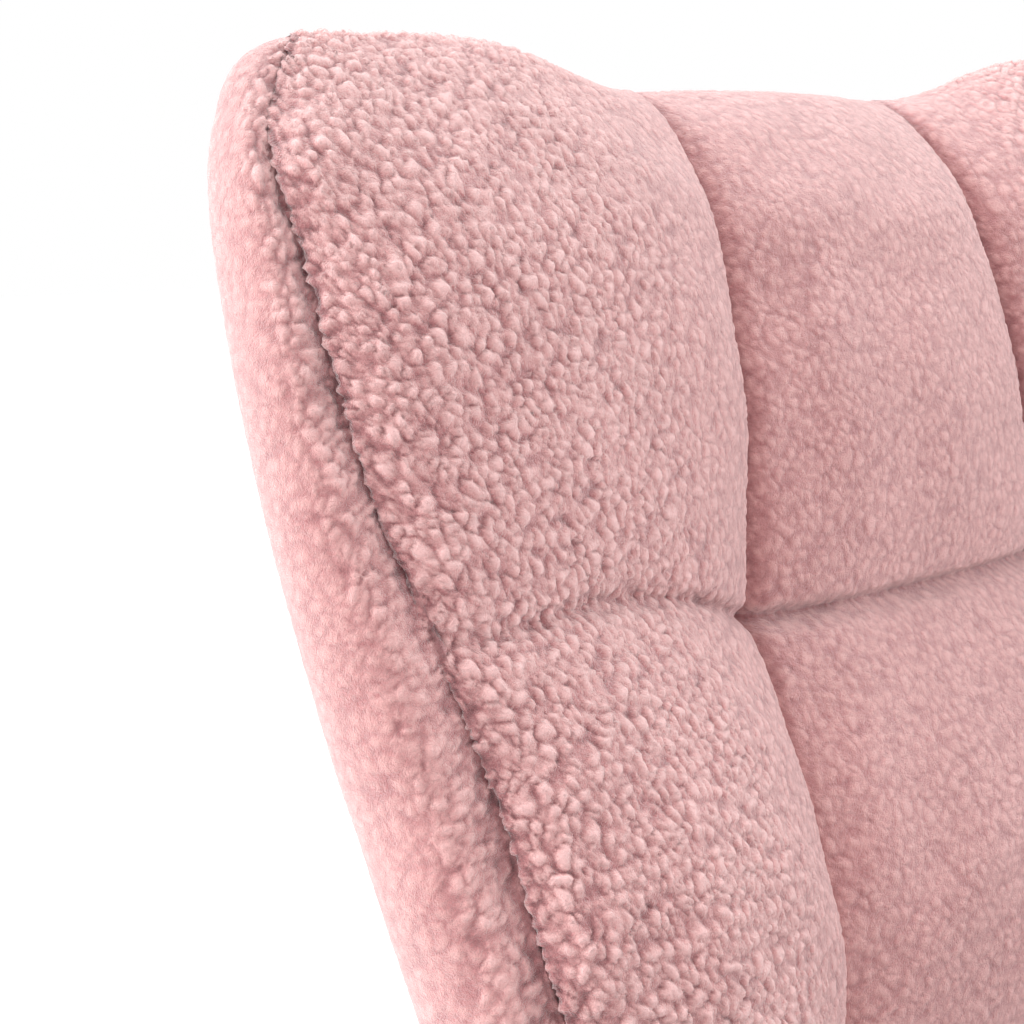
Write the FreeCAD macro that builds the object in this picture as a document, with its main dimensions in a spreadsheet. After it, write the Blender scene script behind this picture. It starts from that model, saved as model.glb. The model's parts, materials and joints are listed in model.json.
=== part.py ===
import FreeCAD, Part
import math
import os
import re

import Sketcher

# Upholstered nursery glider.  A beech floor base carries four steel swing links; the links
# carry the upholstered chair body, which swings fore and aft and stays level.
# Millimetres.  +Z is up, the sitter faces -Y, +X is on the right when the chair is seen from
# the front.  The origin lies on the floor under the middle of the object's box.

doc = FreeCAD.newDocument("nursery_glider")
sheet = doc.addObject("Spreadsheet::Sheet", "Dims")

DIMENSIONS = {
    # floor base
    "foot_height": 6,
    "foot_radius": 15,
    "foot_span_y": 318,
    "runner_length": 716,
    "runner_height": 40,
    "runner_nose": 18,
    "runner_arch": 7,
    "side_frame_x": 272,
    "frame_thick": 36,
    "frame_round": 4,
    "cross_rail_y": 262,
    "cross_rail_width": 28,
    "cross_rail_height": 34,
    "post_foot_y": 320,
    "post_half": 24,
    "post_boss": 21,
    # swing links and their pivots
    "pivot_y": 190,
    "pivot_top_z": 232,
    "link_length": 150,
    "link_width": 24,
    "link_thick": 5,
    "hub_radius": 17,
    "hub_thick": 7,
    "bearing_outer": 11,
    "bearing_gap_radius": 7,
    "bearing_clearance": 0.1,
    "bearing_thick": 8,
    "spacer_thick": 4,
    "bolt_radius": 4,
    "bolt_clearance": 0.05,
    "bolt_head_radius": 9,
    "bolt_head_height": 5,
    "nut_radius": 7.5,
    "nut_height": 8,
    "bumper_radius": 9,
    "bumper_length": 5.4,
    "bumper_z": 150,
    # hangers under the chair body
    "hanger_half": 24,
    "hanger_boss": 20,
    "hanger_top_y": 64,
    "hanger_rail_z": 244,
    "hanger_rail_half": 112,
    # seat frame
    "rail_z": 268,
    "rail_height": 70,
    "rail_thick": 26,
    "side_rail_inner": 263,
    "side_rail_thick": 32,
    "side_rail_end": 134,
    "seat_front_y": -345,
    "rear_rail_y": 84,
    "block_leg": 58,
    "spring_wire": 1.9,
    "spring_half_width": 22,
    "spring_pitch": 26,
    "spring_spacing": 92,
    # shape of the reclined back: a centre panel between two panels that fold forward
    "back_y": 257,
    "seam_z": 808,
    "recline": 0.32,
    "fold_x": 103,
    "fold_taper": 0.09,
    "wing_top_x": 303,
    "wing_arm_x": 261.5,
    "wing_top_forward": 34,
    "wing_arm_forward": 80,
    "arm_level_z": 640,
    "panel_top_z": 1000,
    "pad_bottom_z": 355,
    "shell_bottom_z": 262,
    "pad_proud": 20,
    "panel_front": 14,
    "panel_thick": 12,
    "cover_back": 57,
    "cover_thick": 11.5,
    "swell_z": 800,
    "wing_depth": 61,
    "wing_top_depth": 38,
    "wing_swell": 31,
    "wing_top_swell": 10,
    "flare_z": 712,
    "shell_slope": 0.1,
    "centre_top_z": 1027,
    "wing_top_z": 1037,
    # arms
    "arm_inner_x": 262,
    "arm_outer_x": 328,
    "arm_panel_x": 296,
    "arm_panel_thick": 12,
    "arm_front_y": -361,
    "arm_split_z": 596,
    "arm_front_top_z": 614,
    "arm_rear_top_z": 638,
    "border_thick": 18,
    "border_round": 9,
    # seat cushion
    "cushion_bottom_z": 356,
    "cushion_top_z": 468,
    "cushion_half": 258,
    "cushion_gap": 3,
}

SIDES = {"left": -1, "right": 1}
ENDS = {"front": -1, "rear": 1}
WORD = re.compile(r"[a-z_]+")

subparts = {}


def fill_sheet():
    for row, (name, number) in enumerate(DIMENSIONS.items(), start=1):
        sheet.set(f"A{row}", name)
        sheet.set(f"B{row}", str(number))
        sheet.setAlias(f"B{row}", name)
    doc.recompute()


def bound(text):
    """An expression in which each driving dimension is read from its cell."""
    return WORD.sub(lambda m: f"Dims.{m[0]}" if m[0] in DIMENSIONS else m[0], str(text))


def number(text):
    """The present value of an expression."""
    return float(sheet.evalExpression(bound(text)))


def bind(thing, prop, text):
    thing.setExpression(prop, bound(text))


def subpart(label, thing):
    thing.Label = label
    subparts[label] = thing
    return thing


# ---------------------------------------------------------------- sketches and features


def new_body(label):
    return subpart(label, doc.addObject("PartDesign::Body", label))


def origin_plane(body, role):
    return next(f for f in body.Origin.OriginFeatures if f.Role == role)


def body_sketch(body, role, offset):
    """A sketch on one of the body's origin planes, moved along the plane's normal."""
    sketch = body.newObject("Sketcher::SketchObject", body.Label + "_sketch")
    sketch.AttachmentSupport = [(origin_plane(body, role), "")]
    sketch.MapMode = "FlatFace"
    bind(sketch, "AttachmentOffset.Base.z", offset)
    return sketch


def fix_point(sketch, geometry, point, position):
    """Holds a point of the sketch at two bound distances from the sketch's origin."""
    for kind, text in zip(("DistanceX", "DistanceY"), position):
        index = sketch.addConstraint(
            Sketcher.Constraint(kind, -1, 1, geometry, point, number(text))
        )
        bind(sketch, f"Constraints[{index}]", text)


def outline(sketch, points):
    """A closed polygon whose corners are bound to the sheet."""
    corners = [FreeCAD.Vector(number(u), number(v), 0) for u, v in points]
    last = len(points) - 1
    for i, corner in enumerate(corners):
        sketch.addGeometry(Part.LineSegment(corner, corners[0 if i == last else i + 1]), False)
    for i in range(len(points)):
        sketch.addConstraint(Sketcher.Constraint("Coincident", i, 2, 0 if i == last else i + 1, 1))
    for i, position in enumerate(points):
        fix_point(sketch, i, 1, position)


def circle(sketch, position, radius):
    centre = FreeCAD.Vector(number(position[0]), number(position[1]), 0)
    geometry = sketch.addGeometry(
        Part.Circle(centre, FreeCAD.Vector(0, 0, 1), number(radius)), False
    )
    index = sketch.addConstraint(Sketcher.Constraint("Radius", geometry, number(radius)))
    bind(sketch, f"Constraints[{index}]", radius)
    fix_point(sketch, geometry, 3, position)


def pad(body, sketch, length):
    feature = body.newObject("PartDesign::Pad", body.Label + "_pad")
    feature.Profile = sketch
    bind(feature, "Length", length)
    return feature


def pocket(body, sketch, length):
    """Cuts along the sketch's normal, towards +X, +Y or +Z of the body."""
    feature = body.newObject("PartDesign::Pocket", body.Label + "_pocket")
    feature.Profile = sketch
    feature.Reversed = True
    bind(feature, "Length", length)
    return feature


def edges_where(shape, test):
    return [f"Edge{i}" for i, edge in enumerate(shape.Edges, start=1) if test(edge)]


def round_edges(body, base, radius, test):
    doc.recompute()
    feature = body.newObject("PartDesign::Fillet", body.Label + "_round")
    feature.Base = (base, edges_where(base.Shape, test))
    bind(feature, "Radius", radius)
    return feature


def along_x(edge):
    box = edge.BoundBox
    return box.YLength < 0.01 and box.ZLength < 0.01


def routed(body, base, keep_sharp):
    """Rounds the long edges of a plank's two faces, but not a bore's rim or a butt joint."""
    smallest_bore = number("2 * bolt_radius") + 1

    def test(edge):
        size = edge.BoundBox
        in_face = size.XLength < 0.01
        longest = max(size.YLength, size.ZLength)
        return in_face and longest > smallest_bore and not keep_sharp(edge)

    return round_edges(body, base, "frame_round", test)


def at_height(*heights):
    """Edges that lie level at one of the heights."""
    levels = [number(text) for text in heights]

    def test(edge):
        size = edge.BoundBox
        return size.ZLength < 0.01 and any(abs(size.ZMin - z) < 0.01 for z in levels)

    return test


def box(label, size, corner):
    thing = doc.addObject("Part::Box", label)
    for prop, text in zip(("Length", "Width", "Height"), size):
        bind(thing, prop, text)
    for axis, text in zip("xyz", corner):
        bind(thing, f"Placement.Base.{axis}", text)
    return thing


AXIS_TURN = {
    "x": FreeCAD.Rotation(FreeCAD.Vector(0, 1, 0), 90),
    "z": FreeCAD.Rotation(),
}


def cylinder(label, radius, length, start, axis):
    """A cylinder that runs from start towards +X or +Z."""
    thing = doc.addObject("Part::Cylinder", label)
    thing.Placement = FreeCAD.Placement(FreeCAD.Vector(), AXIS_TURN[axis])
    bind(thing, "Radius", radius)
    bind(thing, "Height", length)
    for name, text in zip("xyz", start):
        bind(thing, f"Placement.Base.{name}", text)
    return thing


def cut(label, base, tool):
    thing = doc.addObject("Part::Cut", label)
    thing.Base, thing.Tool = base, tool
    return thing


def fuse(label, pieces):
    thing = doc.addObject("Part::MultiFuse", label)
    thing.Shapes = pieces
    return thing


def group(label, pieces):
    thing = doc.addObject("Part::Compound", label)
    thing.Links = pieces
    return subpart(label, thing)


def rounded(label, base, radius, test):
    doc.recompute()
    thing = doc.addObject("Part::Fillet", label)
    thing.Base = base
    size = number(radius)
    thing.Edges = [(i, size, size) for i, edge in enumerate(base.Shape.Edges, 1) if test(edge)]
    return thing


def low_x(side, inner, outer):
    """The lower X of a span that lies between two distances from the middle plane."""
    return inner if side > 0 else f"-({outer})"


# ---------------------------------------------------------------- floor base


def runner(name, side):
    body = new_body(f"{name}_runner")
    sketch = body_sketch(body, "YZ_Plane", f"{side} * side_frame_x - frame_thick / 2")
    end, low, top = "runner_length / 2", "foot_height", "foot_height + runner_height"
    arch = f"{low} + runner_arch"
    outline(
        sketch,
        [
            (f"-{end}", low),
            (f"-{end} + 90", low),
            (f"-{end} + 118", arch),
            (f"{end} - 118", arch),
            (f"{end} - 90", low),
            (end, low),
            (end, top),
            (f"-{end}", top),
        ],
    )
    plank = pad(body, sketch, "frame_thick")
    limit = number(end) - 1
    top_z = number(top)

    def nose(edge):
        centre = edge.CenterOfMass
        return along_x(edge) and abs(centre.y) > limit and centre.z > top_z - 1

    shaped = round_edges(body, plank, "runner_nose", nose)
    routed(body, shaped, at_height(low))
    holes = body_sketch(body, "YZ_Plane", f"{side} * side_frame_x - frame_thick / 2")
    for end_sign in ENDS.values():
        circle(holes, rail_bolt_place(end_sign), "bolt_radius + bolt_clearance")
    pocket(body, holes, "frame_thick")


def rail_bolt_place(end_sign):
    return (f"{end_sign} * cross_rail_y", "foot_height + 6 + cross_rail_height / 2")


def cross_rail(name, end_sign):
    half = "(side_frame_x - frame_thick / 2)"
    bar = box(
        f"{name}_rail_bar",
        (f"2 * {half}", "cross_rail_width", "cross_rail_height"),
        (f"-{half}", f"{end_sign} * cross_rail_y - cross_rail_width / 2", "foot_height + 6"),
    )
    soft = rounded(f"{name}_rail_rounded", bar, 4, lambda edge: edge.BoundBox.XLength > 100)
    place_y, place_z = rail_bolt_place(end_sign)
    bores = []
    for side_name, side in SIDES.items():
        start = low_x(side, f"{half} - 45", f"{half} + 1")
        bores.append(
            cylinder(
                f"{name}_rail_bore_{side_name}",
                "bolt_radius + bolt_clearance",
                46,
                (start, place_y, place_z),
                "x",
            )
        )
    subpart(f"{name}_cross_rail", cut(f"{name}_cross_rail", soft, fuse(f"{name}_bores", bores)))


def cross_rail_bolts():
    bolts = []
    inner = "(side_frame_x - frame_thick / 2)"
    outer = "(side_frame_x + frame_thick / 2)"
    for end_name, end_sign in ENDS.items():
        place = rail_bolt_place(end_sign)
        for side_name, side in SIDES.items():
            name = f"rail_bolt_{end_name}_{side_name}"
            shank = cylinder(
                name + "_shank", "bolt_radius", f"frame_thick + 42",
                (low_x(side, f"{inner} - 42", outer), *place), "x",
            )
            head = cylinder(
                name + "_head", "bolt_head_radius - 1", 3,
                (low_x(side, outer, f"{outer} + 3"), *place), "x",
            )
            bolts.append(fuse(name, [shank, head]))
    group("cross_rail_bolts", bolts)


def tangent_point(corner, other, centre, radius):
    """Where the line from corner touches the circle, with other and the circle on one side."""
    away = corner - centre
    reach = away.Length
    base, spread = math.atan2(away.y, away.x), math.acos(radius / reach)
    for angle in (base + spread, base - spread):
        touch = centre + FreeCAD.Vector(math.cos(angle), math.sin(angle), 0) * radius
        line = touch - corner
        if line.cross(other - corner).z * line.cross(centre - corner).z > 0:
            return touch, angle
    raise RuntimeError("the bar's butt end is narrower than its eye allows")


def flat_point(position):
    return FreeCAD.Vector(number(position[0]), number(position[1]), 0)


def eye_bar(body, side, butt, half, boss, boss_at):
    """A tapered bar from a level butt end to a round eye, its edges rounded, bored for a bolt."""
    offset = f"{side} * side_frame_x - frame_thick / 2"
    butt_y, butt_z = butt
    corners = [(f"{butt_y} - {half}", butt_z), (f"{butt_y} + {half}", butt_z)]
    first, second = (flat_point(corner) for corner in corners)
    centre, radius = flat_point(boss_at), number(boss)
    touch_1, angle_1 = tangent_point(first, second, centre, radius)
    touch_2, angle_2 = tangent_point(second, first, centre, radius)
    outward = centre - (first + second) * 0.5
    middle = math.atan2(outward.y, outward.x)
    turn = 2 * math.pi
    forward = (middle - angle_2) % turn < (angle_1 - angle_2) % turn
    start, end = (angle_2, angle_1) if forward else (angle_1, angle_2)
    arc_ends = {2: 1 if forward else 2, 1: 2 if forward else 1}

    sketch = body_sketch(body, "YZ_Plane", offset)
    sketch.addGeometry(Part.LineSegment(first, second), False)
    sketch.addGeometry(Part.LineSegment(second, touch_2), False)
    rim = Part.Circle(centre, FreeCAD.Vector(0, 0, 1), radius)
    sketch.addGeometry(Part.ArcOfCircle(rim, start, start + (end - start) % turn), False)
    sketch.addGeometry(Part.LineSegment(touch_1, first), False)
    sketch.addConstraint(Sketcher.Constraint("Coincident", 0, 2, 1, 1))
    sketch.addConstraint(Sketcher.Constraint("Coincident", 3, 2, 0, 1))
    sketch.addConstraint(Sketcher.Constraint("Tangent", 1, 2, 2, arc_ends[2]))
    sketch.addConstraint(Sketcher.Constraint("Tangent", 3, 1, 2, arc_ends[1]))
    fix_point(sketch, 0, 1, corners[0])
    fix_point(sketch, 0, 2, corners[1])
    fix_point(sketch, 2, 3, boss_at)
    index = sketch.addConstraint(Sketcher.Constraint("Radius", 2, radius))
    bind(sketch, f"Constraints[{index}]", boss)
    bar = pad(body, sketch, "frame_thick")
    routed(body, bar, at_height(butt_z))
    bore = body_sketch(body, "YZ_Plane", offset)
    circle(bore, boss_at, "bolt_radius + bolt_clearance")
    pocket(body, bore, "frame_thick")


def post(end_name, end_sign, side_name, side):
    body = new_body(f"{end_name}_{side_name}_post")
    pivot = (f"{end_sign} * pivot_y", "pivot_top_z")
    foot = (f"{end_sign} * post_foot_y", "foot_height + runner_height")
    eye_bar(body, side, foot, "post_half", "post_boss", pivot)


def foot_pads():
    pads = []
    for end_name, end_sign in ENDS.items():
        for side_name, side in SIDES.items():
            place = (f"{side} * side_frame_x", f"{end_sign} * foot_span_y", 0)
            name = f"foot_{end_name}_{side_name}"
            pads.append(cylinder(name, "foot_radius", "foot_height", place, "z"))
    group("foot_pads", pads)


def stop_bumpers():
    """Rubber buttons on the posts; a hanger leg meets them at the end of the swing."""
    butt_z, height = "foot_height + runner_height", number("bumper_z")
    near = flat_point(("post_foot_y - post_half", butt_z))
    far = flat_point(("post_foot_y + post_half", butt_z))
    eye = flat_point(("pivot_y", "pivot_top_z"))
    touch, _ = tangent_point(near, far, eye, number("post_boss"))
    face_y = near.x + (touch.x - near.x) * (height - near.y) / (touch.y - near.y)
    lean = math.atan2(near.x - touch.x, touch.y - near.y)
    buttons = []
    for end_name, end_sign in ENDS.items():
        for side_name, side in SIDES.items():
            button = doc.addObject("Part::Cylinder", f"bumper_{end_name}_{side_name}")
            bind(button, "Radius", "bumper_radius")
            bind(button, "Height", "bumper_length")
            inward = FreeCAD.Vector(0, -end_sign * math.cos(lean), -math.sin(lean))
            turn = FreeCAD.Rotation(FreeCAD.Vector(0, 0, 1), inward)
            place = FreeCAD.Vector(side * number("side_frame_x"), end_sign * face_y, height)
            button.Placement = FreeCAD.Placement(place, turn)
            buttons.append(button)
    group("stop_bumpers", buttons)


# ---------------------------------------------------------------- pivots and links

OUTER_FACE = "(side_frame_x + frame_thick / 2)"
INNER_FACE = "(side_frame_x - frame_thick / 2)"
BEARING_START = f"({OUTER_FACE} + spacer_thick)"
BEARING_END = f"({BEARING_START} + bearing_thick)"


def pivot_places(height):
    """Name, side and (y, z) of the four pivots at one height."""
    for end_name, end_sign in ENDS.items():
        for side_name, side in SIDES.items():
            yield f"{end_name}_{side_name}", side, (f"{end_sign} * pivot_y", height)


def ring(name, outer, inner, start, end, side, place):
    length = f"({end}) - ({start})"
    at = (low_x(side, start, end), *place)
    return cut(
        name,
        cylinder(name + "_outside", outer, length, at, "x"),
        cylinder(name + "_inside", inner, length, at, "x"),
    )


def pivot_fasteners(label, height):
    """Each pivot: a button-head bolt through the frame and a lock nut on the inner face."""
    pieces = []
    for name, side, place in pivot_places(height):
        title = f"{label}_{name}"
        tail = f"({INNER_FACE} - nut_height - 3)"
        shank = cylinder(
            title + "_shank", "bolt_radius", f"{BEARING_END} - {tail}",
            (low_x(side, tail, BEARING_END), *place), "x",
        )
        head = cylinder(
            title + "_head", "bolt_head_radius", "bolt_head_height",
            (low_x(side, BEARING_END, f"{BEARING_END} + bolt_head_height"), *place), "x",
        )
        far_x = number(f"{BEARING_END} + bolt_head_height")
        domed = rounded(
            title + "_dome", head, 3, lambda e, x=far_x: abs(abs(e.CenterOfMass.x) - x) < 0.01
            and e.BoundBox.XLength < 0.01,
        )
        nut = doc.addObject("Part::Prism", title + "_nut_blank")
        nut.Polygon = 6
        nut.Placement = FreeCAD.Placement(FreeCAD.Vector(), AXIS_TURN["x"])
        bind(nut, "Circumradius", "nut_radius")
        bind(nut, "Height", "nut_height")
        start = low_x(side, f"{INNER_FACE} - nut_height", INNER_FACE)
        for axis, text in zip("xyz", (start, *place)):
            bind(nut, f"Placement.Base.{axis}", text)
        bore = cylinder(
            title + "_nut_bore", "bolt_radius + 0.02", "nut_height", (start, *place), "x"
        )
        pieces += [fuse(title + "_bolt", [shank, domed]), cut(title + "_nut", nut, bore)]
    group(label, pieces)


def bearing_sleeves(label, height):
    """Each pivot: a spacer against the frame and the bearing's inner ring, held by the bolt."""
    inner = "bolt_radius + bolt_clearance"
    rings = []
    for name, side, place in pivot_places(height):
        rings.append(
            ring(f"{label}_{name}_spacer", "bearing_gap_radius + 1", inner,
                 OUTER_FACE, BEARING_START, side, place)
        )
        rings.append(
            ring(f"{label}_{name}_ring", "bearing_gap_radius - bearing_clearance", inner,
                 BEARING_START, BEARING_END, side, place)
        )
    group(label, rings)


def link(name, side, y):
    """A flat steel bar with a hub at each end."""
    body = new_body(f"{name}_link")
    low_z = "pivot_top_z - link_length"
    hub_start = f"{BEARING_START} + (bearing_thick - hub_thick) / 2"
    bar_start = f"{BEARING_START} + (bearing_thick - link_thick) / 2"
    hub_x = low_x(side, hub_start, f"{hub_start} + hub_thick")
    bar_x = low_x(side, bar_start, f"{bar_start} + link_thick")
    bar = body_sketch(body, "YZ_Plane", bar_x)
    outline(
        bar,
        [
            (f"{y} - link_width / 2", low_z),
            (f"{y} + link_width / 2", low_z),
            (f"{y} + link_width / 2", "pivot_top_z"),
            (f"{y} - link_width / 2", "pivot_top_z"),
        ],
    )
    pad(body, bar, "link_thick")
    for height in (low_z, "pivot_top_z"):
        hub = body_sketch(body, "YZ_Plane", hub_x)
        circle(hub, (y, height), "hub_radius")
        pad(body, hub, "hub_thick")
    for height in (low_z, "pivot_top_z"):
        eye = body_sketch(body, "YZ_Plane", hub_x)
        circle(eye, (y, height), "bearing_outer + 0.02")
        pocket(body, eye, "hub_thick")
    rings = [
        ring(f"{name}_outer_ring_{tag}", "bearing_outer", "bearing_gap_radius",
             hub_start, f"{hub_start} + hub_thick", side, (y, height))
        for tag, height in (("low", low_z), ("top", "pivot_top_z"))
    ]
    group(f"{name}_link_bearings", rings)


# ---------------------------------------------------------------- hangers and seat frame


def hanger_leg(end_name, end_sign, side_name, side):
    body = new_body(f"{end_name}_{side_name}_hanger_leg")
    pivot = (f"{end_sign} * pivot_y", "pivot_top_z - link_length")
    top = (f"{end_sign} * hanger_top_y", "hanger_rail_z")
    eye_bar(body, side, top, "hanger_half", "hanger_boss", pivot)


def screw_places():
    for side_name, side in SIDES.items():
        for end_name, end_sign in ENDS.items():
            yield f"{side_name}_{end_name}", side, f"{end_sign} * (hanger_rail_half - 12)"


def arm_bolt_places():
    for side_name, side in SIDES.items():
        for row, y in enumerate((-280, -110, 60), start=1):
            yield f"{side_name}_{row}", side, (y, "rail_z + rail_height / 2")


HANGER_SCREW_X = "(side_frame_x + 5)"


def hanger_rail(side_name, side):
    bar = box(
        f"{side_name}_hanger_bar",
        ("frame_thick", "2 * hanger_rail_half", "rail_z - hanger_rail_z"),
        (f"{side} * side_frame_x - frame_thick / 2", "-hanger_rail_half", "hanger_rail_z"),
    )
    bores = fuse(f"{side_name}_hanger_bores", screw_bores(side_name, "hanger"))
    subpart(f"{side_name}_hanger_rail", cut(f"{side_name}_hanger_rail", bar, bores))


def screw_bores(side_name, title):
    return [
        cylinder(f"{title}_bore_{name}", 3.05, 70,
                 (f"{side} * {HANGER_SCREW_X}", y, "hanger_rail_z - 4"), "z")
        for name, side, y in screw_places()
        if name.startswith(side_name)
    ]


def frame_bolts():
    """Screws that hold the hanger rails up to the side rails, and the arm panels to them."""
    pieces = []
    for name, side, y in screw_places():
        x = f"{side} * {HANGER_SCREW_X}"
        shank = cylinder(f"screw_shank_{name}", 3, 62, (x, y, "hanger_rail_z"), "z")
        head = cylinder(f"screw_head_{name}", 6.5, 3, (x, y, "hanger_rail_z - 3"), "z")
        pieces.append(fuse(f"screw_{name}", [shank, head]))
    outer = "(arm_panel_x + arm_panel_thick)"
    for name, side, place in arm_bolt_places():
        start = f"({outer} - 40)"
        shank = cylinder(f"arm_bolt_shank_{name}", 3, 40, (low_x(side, start, outer), *place), "x")
        pieces.append(shank)
    group("frame_bolts", pieces)


def seat_rails():
    for side_name, side in SIDES.items():
        bar = box(
            f"{side_name}_rail_bar",
            ("side_rail_thick", "side_rail_end - seat_front_y", "rail_height"),
            (low_x(side, "side_rail_inner", "side_rail_inner + side_rail_thick"),
             "seat_front_y", "rail_z"),
        )
        bores = screw_bores(side_name, "side_rail")
        for name, bolt_side, place in arm_bolt_places():
            if bolt_side == side:
                start = low_x(side, "arm_panel_x - 29", "arm_panel_x")
                bores.append(cylinder(f"rail_bore_{name}", 3.05, 29, (start, *place), "x"))
        label = f"seat_{side_name}_rail"
        subpart(label, cut(label, bar, fuse(f"{label}_bores", bores)))
    for end_name, y in (("front", "seat_front_y"), ("rear", "rear_rail_y")):
        label = f"seat_{end_name}_rail"
        size = ("2 * side_rail_inner", "rail_thick", "rail_height")
        subpart(label, box(label, size, ("-side_rail_inner", y, "rail_z")))


def corner_blocks():
    """Glued triangles in the four corners of the seat frame."""
    leg, low = number("block_leg"), number("rail_z + 14")
    front, rear = number("seat_front_y + rail_thick"), number("rear_rail_y")
    blocks = []
    for side in SIDES.values():
        for y, inward in ((front, 1), (rear, -1)):
            x = side * number("side_rail_inner")
            corners = [
                FreeCAD.Vector(x, y, low),
                FreeCAD.Vector(x - side * leg, y, low),
                FreeCAD.Vector(x, y + inward * leg, low),
            ]
            face = Part.Face(Part.makePolygon([*corners, corners[0]]))
            blocks.append(face.extrude(FreeCAD.Vector(0, 0, 40)))
    thing = doc.addObject("Part::Feature", "seat_corner_blocks")
    thing.Shape = Part.makeCompound(blocks)
    subpart("seat_corner_blocks", thing)


SPRINGS = range(-2, 3)


def spring_height():
    return number("rail_z + rail_height + 2 + spring_wire")


def spring_path(x):
    """A sinuous wire: straight legs across the seat joined by half circles."""
    half, pitch = number("spring_half_width"), number("spring_pitch")
    radius, z = pitch / 2, spring_height()
    start, end = number("seat_front_y + 16"), number("rear_rail_y + 12")
    turns = int((end - start) // pitch)
    edges = []
    for i in range(turns + 1):
        y, way = start + i * pitch, 1 if i % 2 else -1
        left = FreeCAD.Vector(x - way * half, y, z)
        right = FreeCAD.Vector(x + way * half, y, z)
        edges.append(Part.LineSegment(left, right).toShape())
        if i < turns:
            middle = FreeCAD.Vector(x + way * (half + radius), y + radius, z)
            after = FreeCAD.Vector(x + way * half, y + pitch, z)
            edges.append(Part.Arc(right, middle, after).toShape())
    return Part.Wire(edges)


def seat_springs():
    wires = []
    for column in SPRINGS:
        path = spring_path(column * number("spring_spacing"))
        first = path.Edges[0].Vertexes[0].Point
        along = path.Edges[0].tangentAt(path.Edges[0].FirstParameter)
        section = Part.Wire(Part.makeCircle(number("spring_wire"), first, along))
        wires.append(path.makePipeShell([section], True, False))
    thing = doc.addObject("Part::Feature", "seat_springs")
    thing.Shape = Part.makeCompound(wires)
    subpart("seat_springs", thing)


def spring_clips():
    """Bent steel clips on the front and rear rails; each holds the end leg of one wire."""
    base, wire = number("rail_z + rail_height"), number("spring_wire")
    floor, roof = base + 1.8, base + 2.2 + 2 * wire
    pitch = number("spring_pitch")
    start = number("seat_front_y + 16")
    turns = int((number("rear_rail_y + 12") - start) // pitch)
    clips = []
    for y, outward in ((start, -1), (start + turns * pitch, 1)):
        a, b, c = y - outward * 6, y + outward * (wire + 0.4), y + outward * (wire + 1.8)
        points = [
            (a, base), (c, base), (c, roof + 1.4), (a, roof + 1.4), (a, roof),
            (b, roof), (b, floor), (a, floor),
        ]
        for column in SPRINGS:
            x = column * number("spring_spacing") - 9
            corners = [FreeCAD.Vector(x, u, v) for u, v in points]
            face = Part.Face(Part.makePolygon([*corners, corners[0]]))
            clips.append(face.extrude(FreeCAD.Vector(18, 0, 0)))
    thing = doc.addObject("Part::Feature", "spring_clips")
    thing.Shape = Part.makeCompound(clips)
    subpart("spring_clips", thing)


def seat_boards():
    deck = box(
        "seat_deck_pad",
        ("2 * (arm_inner_x - 2)", "rear_rail_y - seat_front_y", "7"),
        ("-(arm_inner_x - 2)", "seat_front_y", "rail_z + rail_height + 9.5"),
    )
    subpart("seat_deck_pad", deck)
    dust = new_body("dust_cover")
    sketch = body_sketch(dust, "XY_Plane", "rail_z - 2.5")
    half, rear = "(arm_inner_x - 10)", f"({shell_centre('rail_z')} - cover_thick - 3)"
    outline(
        sketch,
        [
            (f"-{half}", "seat_front_y + 4"),
            (half, "seat_front_y + 4"),
            (half, "side_rail_end - 2"),
            (fold("rail_z"), rear),
            (f"-({fold('rail_z')})", rear),
            (f"-{half}", "side_rail_end - 2"),
        ],
    )
    pad(dust, sketch, "2.5")


# ---------------------------------------------------------------- reclined back


def valley(z):
    """Y of the back's sewn seam lines at a height."""
    return f"(back_y + recline * ({z} - seam_z))"


def fold(z):
    """Distance of the fold between centre and wing from the middle plane."""
    return f"(fold_x - fold_taper * ({z} - seam_z))"


def rise(z, low, high):
    """Share of the way from the arm level up to the panel top, from low to high."""
    share = f"(({z} - arm_level_z) / (panel_top_z - arm_level_z))"
    return f"({low} + ({high} - {low}) * {share})"


def wing(z):
    """(x, y) of the wing's front edge at a height; it is upright below the arm level."""
    if number(z) <= number("arm_level_z"):
        return "wing_arm_x", f"({valley(z)} - wing_arm_forward)"
    x = rise(z, "wing_arm_x", "wing_top_x")
    return x, f"({valley(z)} - {rise(z, 'wing_arm_forward', 'wing_top_forward')})"


def depth(z):
    """Thickness of the back at the wing's outer edge, from its seam to the back face."""
    if number(z) <= number("swell_z"):
        return "wing_depth"
    share = f"(({z} - swell_z) / (panel_top_z - swell_z))"
    return f"(wing_depth + (wing_top_depth - wing_depth) * {share})"


def drop(z):
    """How far the outer shell has come forward at a height below the arm level."""
    return f"shell_slope * (arm_level_z - ({z}))"


def shell_side(z):
    """Y of the outer shell where the back meets an arm or a wing's edge."""
    if number(z) < number("arm_level_z"):
        return f"({valley('arm_level_z')} - wing_arm_forward + wing_depth - {drop(z)})"
    return f"({wing(z)[1]} + {depth(z)})"


def shell_centre(z):
    """Y of the outer shell behind the centre of the back."""
    if number(z) < number("arm_level_z"):
        return f"({valley('arm_level_z')} + cover_back - {drop(z)})"
    return f"({valley(z)} + cover_back)"


def plan(name, z, points):
    """A horizontal section at a height."""
    sketch = doc.addObject("Sketcher::SketchObject", name)
    bind(sketch, "Placement.Base.z", z)
    outline(sketch, points)
    return sketch


def loft(label, section, levels):
    """A solid through the sections that section(*level) gives, level by level."""
    thing = doc.addObject("Part::Loft", label)
    thing.Sections = [plan(f"{label}_plan", level[0], section(*level)) for level in levels]
    thing.Solid, thing.Ruled = True, True
    return subpart(label, thing)


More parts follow.
